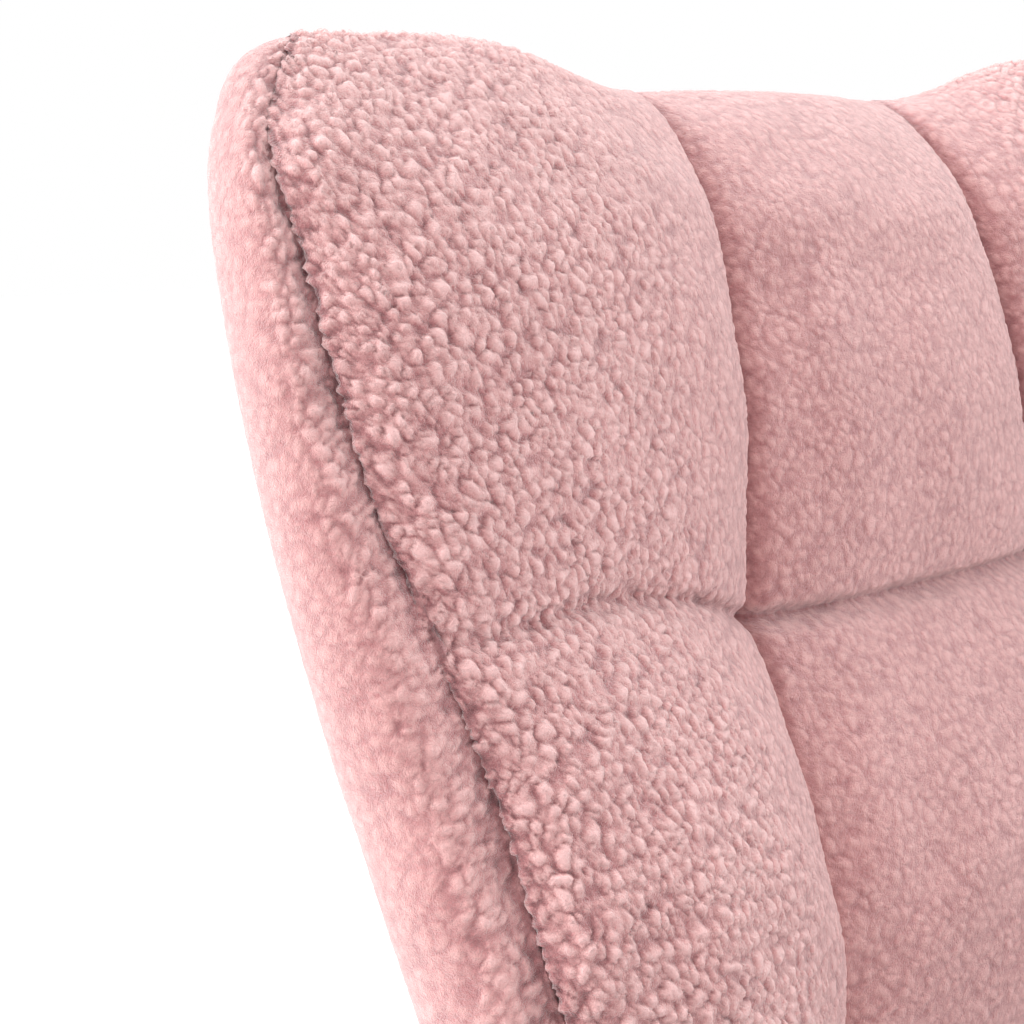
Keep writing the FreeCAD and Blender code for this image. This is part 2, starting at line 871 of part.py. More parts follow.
def mirrored(side, points):
    """Points given for the +X side, in the same turning sense on the -X side."""
    if side > 0:
        return points
    return [(f"-({x})", y) for x, y in reversed(points)]


LOWER = ("panel_top_z", "arm_level_z")


def centre_pad_section(z, front, back, _edge_back, inset):
    y, x = valley(z), fold(z)
    return [
        (f"-({x}) + 0.3 + {inset}", f"{y} - 2 + {inset}"),
        (f"-({x}) + 26", f"{y} + {front}"),
        (f"{x} - 26", f"{y} + {front}"),
        (f"{x} - 0.3 - {inset}", f"{y} - 2 + {inset}"),
        (f"{x} - 0.3 - {inset}", f"{y} + {back}"),
        (f"-({x}) + 0.3 + {inset}", f"{y} + {back}"),
    ]


def between(a, b, share):
    return f"({a} + ({b} - ({a})) * {share})"


def wing_pad_section(side):
    def section(z, front, back, edge_back, inset):
        y, x = valley(z), fold(z)
        edge_x, edge_y = wing(z)
        near_x, near_y = between(x, edge_x, 0.14), between(y, edge_y, 0.14)
        far_x, far_y = between(x, edge_x, 0.84), between(y, edge_y, 0.84)
        points = [
            (f"{x} + 0.3 + {inset}", f"{y} - 2 + {inset}"),
            (near_x, f"{near_y} + {front}"),
            (far_x, f"{far_y} + {front} + 6"),
            (f"{edge_x} - {inset}", f"{edge_y} + {inset}"),
            (f"{edge_x} - {inset}", f"{edge_y} + {edge_back}"),
            (f"{x} + 0.3 + {inset}", f"{y} + {back}"),
        ]
        return mirrored(side, points)

    return section


def pad_levels(top, lower):
    """Levels of a foam pad that wraps over the top edge of its panel and of the cover."""
    front, panel = "(-pad_proud)", "panel_front - 0.3"
    return [
        *[(z, front, panel, panel, 0) for z in lower],
        ("panel_top_z + 0.5", front, panel, panel, 0),
        ("panel_top_z + 1", front, "cover_back - 1", "wing_top_depth - 1", 0),
        (f"{top} - 12", "(-pad_proud + 5)", "cover_back - 6", "wing_top_depth - 3", 2),
        (top, "4", "cover_back - 20", "wing_top_depth - 10", 8),
    ]


def back_panel_section(z):
    y, x = valley(z), fold(z)
    front, back = f"{y} + panel_front", f"{y} + panel_front + panel_thick"
    return [(f"-({x}) + 1", front), (f"{x} - 1", front), (f"{x} - 1", back), (f"-({x}) + 1", back)]


def wing_panel_section(side):
    def section(z):
        y, x = valley(z), fold(z)
        edge_x, edge_y = wing(z)
        far_x, far_y = between(x, edge_x, 0.97), between(y, edge_y, 0.97)
        points = [
            (f"{x} + 1", f"{y} + panel_front"),
            (far_x, f"{far_y} + panel_front"),
            (far_x, f"{far_y} + panel_front + panel_thick"),
            (f"{x} + 1", f"{y} + panel_front + panel_thick"),
        ]
        return mirrored(side, points)

    return section


def back_post_section(side):
    def section(z):
        front = f"{valley(z)} + panel_front + panel_thick + 0.3"
        back = f"{valley(z)} + cover_back - cover_thick - 0.5"
        x = fold(z)
        points = [
            (f"{x} - 36", front), (f"{x} - 8", front), (f"{x} - 8", back), (f"{x} - 36", back),
        ]
        return mirrored(side, points)

    return section


def outer_back_section(z):
    x = fold(z)
    edge_x = f"{wing(z)[0]} - 0.3"
    centre, side = shell_centre(z), shell_side(z)
    return [
        (f"-({edge_x})", f"{side} - cover_thick"),
        (f"-({x})", f"{centre} - cover_thick"),
        (x, f"{centre} - cover_thick"),
        (edge_x, f"{side} - cover_thick"),
        (edge_x, side),
        (x, centre),
        (f"-({x})", centre),
        (f"-({edge_x})", side),
    ]


def wing_border_section(side):
    """The padded band round the wing's outer edge, from the wing's seam to the back."""

    def section(z, swell, inset):
        edge_x, edge_y = wing(z)
        inner = f"({edge_x} + 0.3)"
        outer = f"({edge_x} + {swell})"
        front, back = f"({edge_y} + {inset})", f"({shell_side(z)} - {inset})"
        points = [
            (inner, front),
            (between(inner, outer, 0.6), between(front, back, 0.07)),
            (outer, between(front, back, 0.36)),
            (outer, between(front, back, 0.78)),
            (between(inner, outer, 0.7), back),
            (inner, back),
        ]
        return mirrored(side, points)

    return section


def back_parts():
    loft("back_centre_pad", centre_pad_section,
         pad_levels("centre_top_z", ("pad_bottom_z", "arm_level_z")))
    loft("back_panel", back_panel_section, [("rail_z + 40",), ("panel_top_z",)])
    loft("outer_back_cover", outer_back_section,
         [("shell_bottom_z",), ("arm_level_z",), ("swell_z",), ("panel_top_z",)])
    for name, side in SIDES.items():
        loft(f"{name}_wing_pad", wing_pad_section(side),
             pad_levels("wing_top_z", ("pad_bottom_z", "arm_level_z")))
        loft(f"{name}_wing_panel", wing_panel_section(side),
             [("pad_bottom_z",), ("arm_level_z",), ("panel_top_z",)])
        loft(f"{name}_back_post", back_post_section(side), [("rail_z",), ("panel_top_z - 5",)])
        loft(f"{name}_wing_border", wing_border_section(side),
             [("arm_level_z + 0.5", "(arm_outer_x - wing_arm_x)", 0),
              ("flare_z", "wing_swell", 0),
              ("swell_z", "wing_swell", 0),
              ("panel_top_z", "wing_top_swell", 0),
              ("panel_top_z + 20", "(wing_top_swell - 1)", 5),
              ("wing_top_z - 3", "(wing_top_swell - 4)", 12)])


# ---------------------------------------------------------------- arms


def arm_slab(label, side, inner, outer, low_z):
    """A slab of the arm from the front band to the wrapped cover at the back."""
    body = new_body(label)
    sketch = body_sketch(body, "YZ_Plane", low_x(side, inner, outer))
    corners = [("arm_front_y", "arm_split_z"), ("arm_front_y", low_z)]
    for z in (low_z, "arm_split_z"):
        corners.append((f"{shell_side(z)} - cover_thick - 0.3", z))
    outline(sketch, corners)
    pad(body, sketch, f"({outer}) - ({inner})")
    return body


def arm_outer_cover(name, side):
    """The cover outside the arm, wrapped round its back edge up to the outer back."""
    face = "(arm_panel_x + arm_panel_thick + 0.2)"

    def section(z):
        rear = shell_side(z)
        points = [
            (face, "arm_front_y"),
            ("arm_outer_x", "arm_front_y"),
            ("arm_outer_x", rear),
            ("arm_inner_x", rear),
            ("arm_inner_x", f"{rear} - cover_thick"),
            (face, f"{rear} - cover_thick"),
        ]
        return mirrored(side, points)

    loft(f"{name}_arm_outer_cover", section, [("shell_bottom_z",), ("arm_split_z",)])


def arm_panel(name, side):
    outer = "arm_panel_x + arm_panel_thick"
    body = arm_slab(f"{name}_arm_panel", side, "arm_panel_x", outer, "rail_z")
    holes = body_sketch(body, "YZ_Plane", low_x(side, "arm_panel_x", outer))
    for _, bolt_side, place in arm_bolt_places():
        if bolt_side == side:
            circle(holes, place, 3.05)
    pocket(body, holes, "arm_panel_thick")


def arm_border(name, side):
    """The padded band along the arm's top and down its front."""
    body = new_body(f"{name}_arm_border")
    sketch = body_sketch(body, "YZ_Plane", low_x(side, "arm_inner_x", "arm_outer_x"))
    split, front = "arm_split_z + 0.3", "arm_front_y - 0.3"
    outline(
        sketch,
        [
            (f"{front} - border_thick", "shell_bottom_z"),
            (front, "shell_bottom_z"),
            (front, split),
            (shell_side("arm_split_z"), split),
            (shell_side("arm_rear_top_z"), "arm_rear_top_z"),
            (f"{front} - border_thick", "arm_front_top_z"),
        ],
    )
    block = pad(body, sketch, "arm_outer_x - arm_inner_x")
    limits = (number("arm_front_y - border_thick") + 1, number("arm_split_z") + 8)

    def outside(edge):
        centre, size = edge.CenterOfMass, edge.BoundBox
        lengthwise = size.XLength < 0.01 and max(size.YLength, size.ZLength) > 60
        return lengthwise and (centre.y < limits[0] or centre.z > limits[1])

    round_edges(body, block, "border_round", outside)


def arms():
    for name, side in SIDES.items():
        arm_panel(name, side)
        arm_slab(f"{name}_arm_inner_pad", side, "arm_inner_x", "arm_panel_x - 0.2",
                 "rail_z + rail_height + 1")
        arm_outer_cover(name, side)
        arm_border(name, side)


# ---------------------------------------------------------------- seat


def cushion_section(z, inset):
    """The cushion in plan: its back edge follows the centre and the two wings."""
    gap = f"(pad_proud + cushion_gap + {inset})"
    y, x = valley(z), fold(z)
    edge_x, edge_y = wing(z)
    half, front = f"cushion_half - {inset}", f"arm_front_y - 10 + {inset}"
    near_x, near_y = between(x, edge_x, 0.14), between(y, edge_y, 0.14)
    far_x, far_y = between(x, edge_x, 0.84), between(y, edge_y, 0.84)
    right = [
        (half, front),
        (half, f"{far_y} - {gap} - 9"),
        (f"{far_x} - {inset}", f"{far_y} - {gap}"),
        (near_x, f"{near_y} - {gap}"),
        (f"{x} - 26", f"{y} - {gap}"),
    ]
    return right + [(f"-({u})", v) for u, v in reversed(right)]


def seat_cushion():
    low, top = "cushion_bottom_z", "cushion_top_z"
    loft("seat_cushion", cushion_section,
         [(low, 14), (f"{low} + 14", 2), (f"{between(low, top, 0.5)}", 0),
          (f"{top} - 18", 3), (f"{top} - 6", 9), (top, 20)])


def seat_apron():
    thick = "(seat_front_y - arm_front_y + border_thick)"
    label = "seat_apron"
    half = "(arm_inner_x - 0.3)"
    blank = box(
        "apron_blank",
        (f"2 * {half}", thick, "rail_z + rail_height + 16 - shell_bottom_z"),
        (f"-{half}", f"seat_front_y - 0.3 - {thick}", "shell_bottom_z"),
    )
    front_y = number(f"seat_front_y - 0.3 - {thick}")

    def outer_edge(edge):
        return edge.BoundBox.XLength > 100 and edge.CenterOfMass.y < front_y + 1

    subpart(label, rounded(label, blank, "border_round", outer_edge))


# ---------------------------------------------------------------- build


def build():
    fill_sheet()
    for side_name, side in SIDES.items():
        runner(side_name, side)
        hanger_rail(side_name, side)
        for end_name, end_sign in ENDS.items():
            post(end_name, end_sign, side_name, side)
            hanger_leg(end_name, end_sign, side_name, side)
            link(f"{end_name}_{side_name}", side, f"({end_sign} * pivot_y)")
    for end_name, end_sign in ENDS.items():
        cross_rail(end_name, end_sign)
    cross_rail_bolts()
    foot_pads()
    stop_bumpers()
    for level, height in (("upper", "pivot_top_z"), ("lower", "pivot_top_z - link_length")):
        pivot_fasteners(f"{level}_pivot_fasteners", height)
        bearing_sleeves(f"{level}_bearing_sleeves", height)
    frame_bolts()
    seat_rails()
    corner_blocks()
    seat_springs()
    spring_clips()
    seat_boards()
    back_parts()
    arms()
    seat_cushion()
    seat_apron()


def check():
    """Stops before anything is written if a feature failed or a sub-part isn't sound."""
    doc.recompute()
    for thing in doc.Objects:
        if "Invalid" in thing.State or "Error" in thing.State:
            raise RuntimeError(f"{thing.Name} failed: {thing.State}")
    for label, thing in subparts.items():
        shape = thing.Shape
        if shape.isNull() or not shape.isValid() or not shape.Solids:
            raise RuntimeError(f"{label} is not a sound solid")
        if any(solid.Volume <= 0 for solid in shape.Solids):
            raise RuntimeError(f"{label} has a solid with no volume")


def export():
    os.makedirs("parts", exist_ok=True)
    for label, thing in subparts.items():
        thing.Shape.exportStep(f"parts/{label}.step")
    whole = Part.makeCompound([thing.Shape for thing in subparts.values()]).BoundBox
    print(len(subparts), "sub-parts;", f"x {whole.XMin:.1f} {whole.XMax:.1f}",
          f"y {whole.YMin:.1f} {whole.YMax:.1f} z {whole.ZMin:.1f} {whole.ZMax:.1f}")


build()
check()
export()
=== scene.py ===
import json
import math

import bmesh
import bpy
import numpy as np
from mathutils import Matrix, Vector

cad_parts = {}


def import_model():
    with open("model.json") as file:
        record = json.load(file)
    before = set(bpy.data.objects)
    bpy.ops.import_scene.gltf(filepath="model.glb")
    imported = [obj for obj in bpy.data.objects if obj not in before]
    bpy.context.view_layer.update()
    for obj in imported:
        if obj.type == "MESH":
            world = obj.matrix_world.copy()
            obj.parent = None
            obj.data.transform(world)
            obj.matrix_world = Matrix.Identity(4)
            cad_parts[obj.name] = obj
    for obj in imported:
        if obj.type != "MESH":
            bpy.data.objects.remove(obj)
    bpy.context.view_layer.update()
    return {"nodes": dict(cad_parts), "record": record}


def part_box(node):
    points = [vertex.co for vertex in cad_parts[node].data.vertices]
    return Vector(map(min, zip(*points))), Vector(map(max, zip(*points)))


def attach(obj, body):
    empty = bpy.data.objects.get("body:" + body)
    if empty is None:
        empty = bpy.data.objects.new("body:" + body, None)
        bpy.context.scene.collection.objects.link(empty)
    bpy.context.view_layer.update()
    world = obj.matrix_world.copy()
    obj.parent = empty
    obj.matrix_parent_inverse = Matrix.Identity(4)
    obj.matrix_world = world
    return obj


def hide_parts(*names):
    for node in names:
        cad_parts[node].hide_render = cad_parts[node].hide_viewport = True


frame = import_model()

RECORD = frame["record"]
NODES = frame["nodes"]
MM = 0.001
CHAIR = "chair"


# ------------------------------------------------------------ places read from the frame


def mm_box(node):
    lo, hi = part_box(node)
    return np.array(lo) / MM, np.array(hi) / MM


panel_lo, panel_hi = mm_box("back_panel")
wing_panel_lo, _ = mm_box("right_wing_panel")
wing_pad_lo, wing_pad_hi = mm_box("right_wing_pad")
_, centre_pad_hi = mm_box("back_centre_pad")
border_lo, _ = mm_box("right_wing_border")
outer_lo, _ = mm_box("outer_back_cover")
arm_lo, arm_hi = mm_box("right_arm_border")
arm_cover_lo, arm_cover_hi = mm_box("right_arm_outer_cover")
cushion_lo, cushion_hi = mm_box("seat_cushion")
_, side_rail_hi = mm_box("seat_right_rail")

# Depths of the back's layers behind its sewn valley lines, as in the part.
PANEL_FRONT, PANEL_BACK, COVER_BACK = 14.0, 26.0, 57.0
# Heights of the two sewn rows that cross the back.
SEAM_Z, LOW_SEAM_Z = 808.0, 590.0
ARM_Z, PANEL_TOP = border_lo[2], panel_hi[2]
# How far a wing's edge stands forward of the valleys, at the arm and at the top.
FORWARD_LOW, FORWARD_TOP = 80.0, 34.0
# How deep the edge band is, up to SWELL_Z and at the top.
DEPTH_LOW, DEPTH_TOP, SWELL_Z = 61.0, 38.0, 800.0
# Lean of the outer cover below the arm tops, and the height of an arm's front end.
SHELL_SLOPE = 0.1
ARM_FRONT_Z = 614.0
RECLINE = (panel_hi[1] - PANEL_BACK - panel_lo[1] + PANEL_FRONT) / (panel_hi[2] - panel_lo[2])
BACK_Y = panel_lo[1] - PANEL_FRONT + RECLINE * (SEAM_Z - panel_lo[2])
FOLD_LOW, FOLD_TOP = panel_hi[0] + 1, wing_panel_lo[0] - 1
EDGE_LOW, EDGE_TOP = arm_lo[0] - 0.5, wing_pad_hi[0]


def lerp(a, b, t):
    return a + (b - a) * t


def smooth(a, b, x):
    t = np.clip((x - a) / (b - a), 0, 1)
    return t * t * (3 - 2 * t)


def valley(z):
    """Y of the back's sewn valleys at a height."""
    return BACK_Y + RECLINE * (z - SEAM_Z)


def fold_x(z):
    """X of the fold between the centre and a wing."""
    return lerp(FOLD_LOW, FOLD_TOP, (z - panel_lo[2]) / (panel_hi[2] - panel_lo[2]))


def up(z):
    """Share of the height from the arm, 0, to the panel's top, 1."""
    return (np.maximum(z, ARM_Z) - ARM_Z) / (PANEL_TOP - ARM_Z)


def edge_x(z):
    """X of a wing panel's outer edge."""
    return lerp(EDGE_LOW, EDGE_TOP, up(z))


def forward(z):
    return lerp(FORWARD_LOW, FORWARD_TOP, up(z))


def depth(z):
    return lerp(DEPTH_LOW, DEPTH_TOP, np.clip((z - SWELL_Z) / (PANEL_TOP - SWELL_Z), 0, 1.2))


def shell_side(z):
    """Y of the outside of the back at a wing's edge."""
    low = valley(ARM_Z) - FORWARD_LOW + DEPTH_LOW - SHELL_SLOPE * (ARM_Z - z)
    return np.where(z < ARM_Z, low, valley(z) - forward(z) + depth(z))


def shell_centre(z):
    """Y of the outside of the back at its middle."""
    low = valley(ARM_Z) + COVER_BACK - SHELL_SLOPE * (ARM_Z - z)
    return np.where(z < ARM_Z, low, valley(z) + COVER_BACK)


# ------------------------------------------------------------ meshes from grids of points

MERGE_M = 2e-5
RIM_TUCK = 12.0
TINY = 1e-6


def mesh_object(name, verts, faces):
    """verts in millimetres; faces a list of index arrays with 3 or 4 columns."""
    mesh = bpy.data.meshes.new(name)
    mesh.vertices.add(len(verts))
    mesh.vertices.foreach_set("co", (verts * MM).astype(np.float32).ravel())
    loops = np.concatenate([f.ravel() for f in faces])
    sizes = np.concatenate([np.full(len(f), f.shape[1]) for f in faces])
    starts = np.concatenate([[0], np.cumsum(sizes)[:-1]])
    mesh.loops.add(len(loops))
    mesh.loops.foreach_set("vertex_index", loops.astype(np.int32))
    mesh.polygons.add(len(sizes))
    mesh.polygons.foreach_set("loop_start", starts.astype(np.int32))
    mesh.polygons.foreach_set("loop_total", sizes.astype(np.int32))
    mesh.polygons.foreach_set("use_smooth", np.ones(len(sizes), bool))
    mesh.update(calc_edges=True)
    mesh.validate()
    obj = bpy.data.objects.new(name, mesh)
    bpy.context.scene.collection.objects.link(obj)
    return obj


def grid_faces(rows, columns, wrap=False):
    """Quads of a grid of points; wrap closes it across its columns."""
    index = np.arange(rows * columns).reshape(rows, columns)
    if wrap:
        index = np.concatenate([index, index[:, :1]], 1)
    a, b, c, d = index[:-1, :-1], index[:-1, 1:], index[1:, 1:], index[1:, :-1]
    return np.stack([a.ravel(), b.ravel(), c.ravel(), d.ravel()], 1)


def set_attribute(mesh, name, values, kind="FLOAT"):
    attribute = mesh.attributes.get(name) or mesh.attributes.new(name, kind, "POINT")
    key = "vector" if kind == "FLOAT_VECTOR" else "value"
    attribute.data.foreach_set(key, np.ascontiguousarray(values, np.float32).ravel())


def tidy_normals(obj):
    """Merges coincident points and turns every face outward."""
    bm = bmesh.new()
    bm.from_mesh(obj.data)
    bmesh.ops.remove_doubles(bm, verts=bm.verts, dist=MERGE_M)
    bmesh.ops.recalc_face_normals(bm, faces=bm.faces)
    bm.to_mesh(obj.data)
    bm.free()
    obj.data.update()


def closed_sheet(name, points, pile, parted_and_shade, centre, inner):
    """A sheet whose rim turns inward, follows the inner lines, and closes on a point.

    All of that is out of sight. inner takes the rim's points and returns lines as long.
    pile is the pile's amount at each point; the next one is how far it parts over a seam, which
    darkens the colour: painted shade plus the darker ground.
    """
    rows, columns, _ = points.shape
    index = np.arange(rows * columns).reshape(rows, columns)
    rim = np.concatenate([index[0, :-1], index[:-1, -1], index[-1, :0:-1], index[:0:-1, 0]])
    flat = points.reshape(-1, 3)
    lines = inner(flat[rim])
    inward = lines[0] - flat[rim]
    inward /= np.maximum(np.linalg.norm(inward, axis=1, keepdims=True), TINY)
    rings = [flat[rim] + inward * RIM_TUCK, *lines]
    verts = np.concatenate([flat, *rings, centre[None]])
    count = len(rim)
    a, b = np.arange(count), (np.arange(count) + 1) % count
    faces, last = [grid_faces(rows, columns)], rim
    for number in range(len(rings)):
        ring = len(flat) + number * count + np.arange(count)
        faces.append(np.stack([last[a], last[b], ring[b], ring[a]], 1))
        last = ring
    faces.append(np.stack([last[a], last[b], np.full(count, len(verts) - 1)], 1))
    obj = mesh_object(name, verts, faces)
    hidden = np.zeros(len(verts) - len(flat))
    set_attribute(obj.data, "pile_amount", np.concatenate([pile.ravel(), hidden]))
    # Seam darkening for the colour: painted shade in the seams, plus the darker ground where the
    # pile parts.
    set_attribute(obj.data, "pile_parted_and_shade", np.concatenate([parted_and_shade.ravel(), hidden]))
    tidy_normals(obj)
    return obj


def capped_loft(name, loops, middles, crown, cap_rows=14):
    """Closed loops lofted in order; each end is closed towards its loop's middle line."""
    parts = []
    for end, order in ((0, 1), (-1, -1)):
        loop, middle = loops[end], middles[end]
        shares = np.linspace(0, 1, cap_rows + 1)[1 if order < 0 else 0:]
        shares = shares[:-1] if order > 0 else shares
        rows = []
        for share in shares:
            k = share if order > 0 else 1 - share
            rows.append(middle + (loop - middle) * k + crown[end] * (1 - k * k))
        parts.append(np.array(rows))
    grid = np.concatenate([parts[0], loops, parts[1]])
    rows, columns, _ = grid.shape
    obj = mesh_object(name, grid.reshape(-1, 3), [grid_faces(rows, columns, wrap=True)])
    tidy_normals(obj)
    return obj


def applied(obj):
    """The object with its modifiers made final."""
    graph = bpy.context.evaluated_depsgraph_get()
    mesh = bpy.data.meshes.new_from_object(obj.evaluated_get(graph),
                                           preserve_all_data_layers=True, depsgraph=graph)
    obj.modifiers.clear()
    obj.data = mesh
    return obj


def read_vectors(mesh, what):
    values = np.empty(len(mesh.vertices) * 3, np.float32)
    mesh.vertices.foreach_get(what, values)
    return values.reshape(-1, 3).astype(float)


def coordinates(mesh):
    """Places of the mesh's points in millimetres."""
    return read_vectors(mesh, "co") / MM


def set_coordinates(mesh, co):
    mesh.vertices.foreach_set("co", (co * MM).astype(np.float32).ravel())
    mesh.update()


def waves(points, length, seed, count=9):
    """Smooth unevenness between about -1 and 1 at a wavelength, the same in each run."""
    rng = np.random.default_rng(seed)
    total = np.zeros(points.shape[:-1])
    for _ in range(count):
        direction = rng.normal(size=3)
        direction *= 2 * math.pi / length * rng.uniform(0.7, 1.5) / np.linalg.norm(direction)
        total += np.sin(points @ direction + rng.uniform(0, 2 * math.pi))
    return total / math.sqrt(count)


# ------------------------------------------------------------ node helpers


def node(tree, kind, inputs=None, **props):
    made = tree.nodes.new(kind)
    for key, value in props.items():
        setattr(made, key, value)
    for key, value in (inputs or {}).items():
        if isinstance(value, bpy.types.NodeSocket):
            tree.links.new(value, made.inputs[key])
        else:
            made.inputs[key].default_value = value
    return made


def math_node(tree, operation, *values, clamp=False):
    made = node(tree, "ShaderNodeMath", dict(enumerate(values)), operation=operation)
    made.use_clamp = clamp
    return made.outputs[0]


def vector_node(tree, operation, *values):
    made = node(tree, "ShaderNodeVectorMath", operation=operation)
    for i, value in enumerate(values):
        socket = made.inputs["Scale"] if operation == "SCALE" and i == 1 else made.inputs[i]
        if isinstance(value, bpy.types.NodeSocket):
            tree.links.new(value, socket)
        else:
            socket.default_value = value
    return made.outputs[0]


# Width of a curl, and how far the pile rises from a gap to a curl's top.
CURL_MM = 5.3
PILE_MM = 3.1
# Share of that rise on each piece or region.
CENTRE_PILE, WING_PILE, SHELL_PILE = 0.32, 1.1, 0.7
BAND_SEAM_PILE, BAND_PILE = 0.8, 0.16
ARM_PILE, CUSHION_PILE, DECK_PILE = 0.75, 0.7, 0.5


def curl_height(tree, co):
    """Height of the curly pile: 0 deep in a gap, near 1 on top of a curl; co in mm."""
    def wander(scale, reach):
        noise = node(tree, "ShaderNodeTexNoise", {"Vector": co, "Scale": scale, "Detail": 0.0})
        centred = vector_node(tree, "SUBTRACT", noise.outputs["Color"], (0.5, 0.5, 0.5))
        return vector_node(tree, "SCALE", centred, reach)

    moved = vector_node(tree, "ADD", co, wander(0.12, 7.0))
    moved = vector_node(tree, "ADD", moved, wander(0.42, 2.2))

    def domes(cell, width):
        cells = node(tree, "ShaderNodeTexVoronoi",
                     {"Vector": moved, "Scale": 1 / cell, "Randomness": 0.95}, feature="F1")
        share = math_node(tree, "DIVIDE", cells.outputs["Distance"], width)
        square = math_node(tree, "MULTIPLY", share, share)
        return math_node(tree, "SUBTRACT", 1.0, square, clamp=True)

    edge = node(tree, "ShaderNodeTexVoronoi",
                {"Vector": moved, "Scale": 1 / CURL_MM, "Randomness": 0.95},
                feature="DISTANCE_TO_EDGE")
    body = node(tree, "ShaderNodeMapRange",
                {"Value": edge.outputs["Distance"], "From Min": 0.0, "From Max": 0.32},
                interpolation_type="SMOOTHSTEP")
    big = math_node(tree, "ADD", math_node(tree, "MULTIPLY", domes(CURL_MM, 0.9), 0.5),
                    math_node(tree, "MULTIPLY", body.outputs[0], 0.5))
    small = domes(CURL_MM * 0.55, 0.85)
    mixed = math_node(tree, "ADD", math_node(tree, "MULTIPLY", big, 0.74),
                      math_node(tree, "MULTIPLY", small, 0.26))
    uneven = node(tree, "ShaderNodeTexNoise", {"Vector": co, "Scale": 0.08, "Detail": 1.0})
    lift = math_node(tree, "MULTIPLY_ADD", uneven.outputs["Fac"], 0.16, 0.92)
    return math_node(tree, "MULTIPLY", mixed, lift)


def pile_group():
    """The node group that moves points along their normals by the pile's height."""
    tree = bpy.data.node_groups.new("pile_relief", "GeometryNodeTree")
    tree.interface.new_socket("Geometry", in_out="INPUT", socket_type="NodeSocketGeometry")
    tree.interface.new_socket("Geometry", in_out="OUTPUT", socket_type="NodeSocketGeometry")
    start = node(tree, "NodeGroupInput")
    end = node(tree, "NodeGroupOutput")
    place = node(tree, "GeometryNodeInputNamedAttribute", {"Name": "pile_place"},
                 data_type="FLOAT_VECTOR")
    amount = node(tree, "GeometryNodeInputNamedAttribute", {"Name": "pile_amount"},
                  data_type="FLOAT")
    height = curl_height(tree, place.outputs[0])
    kept = node(tree, "GeometryNodeStoreNamedAttribute",
                {"Geometry": start.outputs[0], "Name": "pile_height", "Value": height},
                data_type="FLOAT", domain="POINT")
    raised = math_node(tree, "SUBTRACT", height, 0.5)
    scaled = math_node(tree, "MULTIPLY", raised, math_node(tree, "MULTIPLY", amount.outputs[0],
                                                           PILE_MM * MM))
    offset = vector_node(tree, "SCALE", node(tree, "GeometryNodeInputNormal").outputs[0], scaled)
    move = node(tree, "GeometryNodeSetPosition",
                {"Geometry": kept.outputs[0], "Offset": offset})
    tree.links.new(move.outputs[0], end.inputs[0])
    return tree


PILE = pile_group()


def grow_pile(obj, amount=None):
    """Raises the fabric's curls as geometry and keeps the flat place for the material.

    amount is one number or one for each point; without it the mesh already carries it.
    """
    mesh = obj.data
    set_attribute(mesh, "pile_place", coordinates(mesh), "FLOAT_VECTOR")
    if amount is not None:
        set_attribute(mesh, "pile_amount", amount + np.zeros(len(mesh.vertices)))
    modifier = obj.modifiers.new("pile", "NODES")
    modifier.node_group = PILE
    applied(obj)
    obj.data.materials.clear()
    obj.data.materials.append(TEDDY)
    obj.data.polygons.foreach_set("use_smooth", np.ones(len(obj.data.polygons), bool))
    return obj


# ------------------------------------------------------------ materials


def new_material(name):
    material = bpy.data.materials.new(name)
    material.use_nodes = True
    tree = material.node_tree
    tree.nodes.clear()
    out = node(tree, "ShaderNodeOutputMaterial")
    shader = node(tree, "ShaderNodeBsdfPrincipled")
    tree.links.new(shader.outputs[0], out.inputs[0])
    return material, tree, shader


def srgb(r, g, b):
    def linear(v):
        v /= 255
        return v / 12.92 if v <= 0.04045 else ((v + 0.055) / 1.055) ** 2.4

    return (linear(r), linear(g), linear(b), 1.0)


def ramp(tree, value, stops):
    made = node(tree, "ShaderNodeValToRGB", {"Fac": value})
    elements = made.color_ramp.elements
    while len(elements) < len(stops):
        elements.new(0.5)
    for element, (place, colour) in zip(elements, stops):
        element.position, element.color = place, colour
    return made.outputs[0]


def mix_colour(tree, mode, factor, a, b):
    made = node(tree, "ShaderNodeMix", data_type="RGBA", blend_type=mode)
    for socket, value in ((made.inputs[0], factor), (made.inputs[6], a), (made.inputs[7], b)):
        if isinstance(value, bpy.types.NodeSocket):
            tree.links.new(value, socket)
        else:
            socket.default_value = value
    return made.outputs[2]


def bump(tree, height, distance, strength=1.0, normal=None):
    inputs = {"Height": height, "Distance": distance, "Strength": strength}
    if normal is not None:
        inputs["Normal"] = normal
    return node(tree, "ShaderNodeBump", inputs).outputs[0]


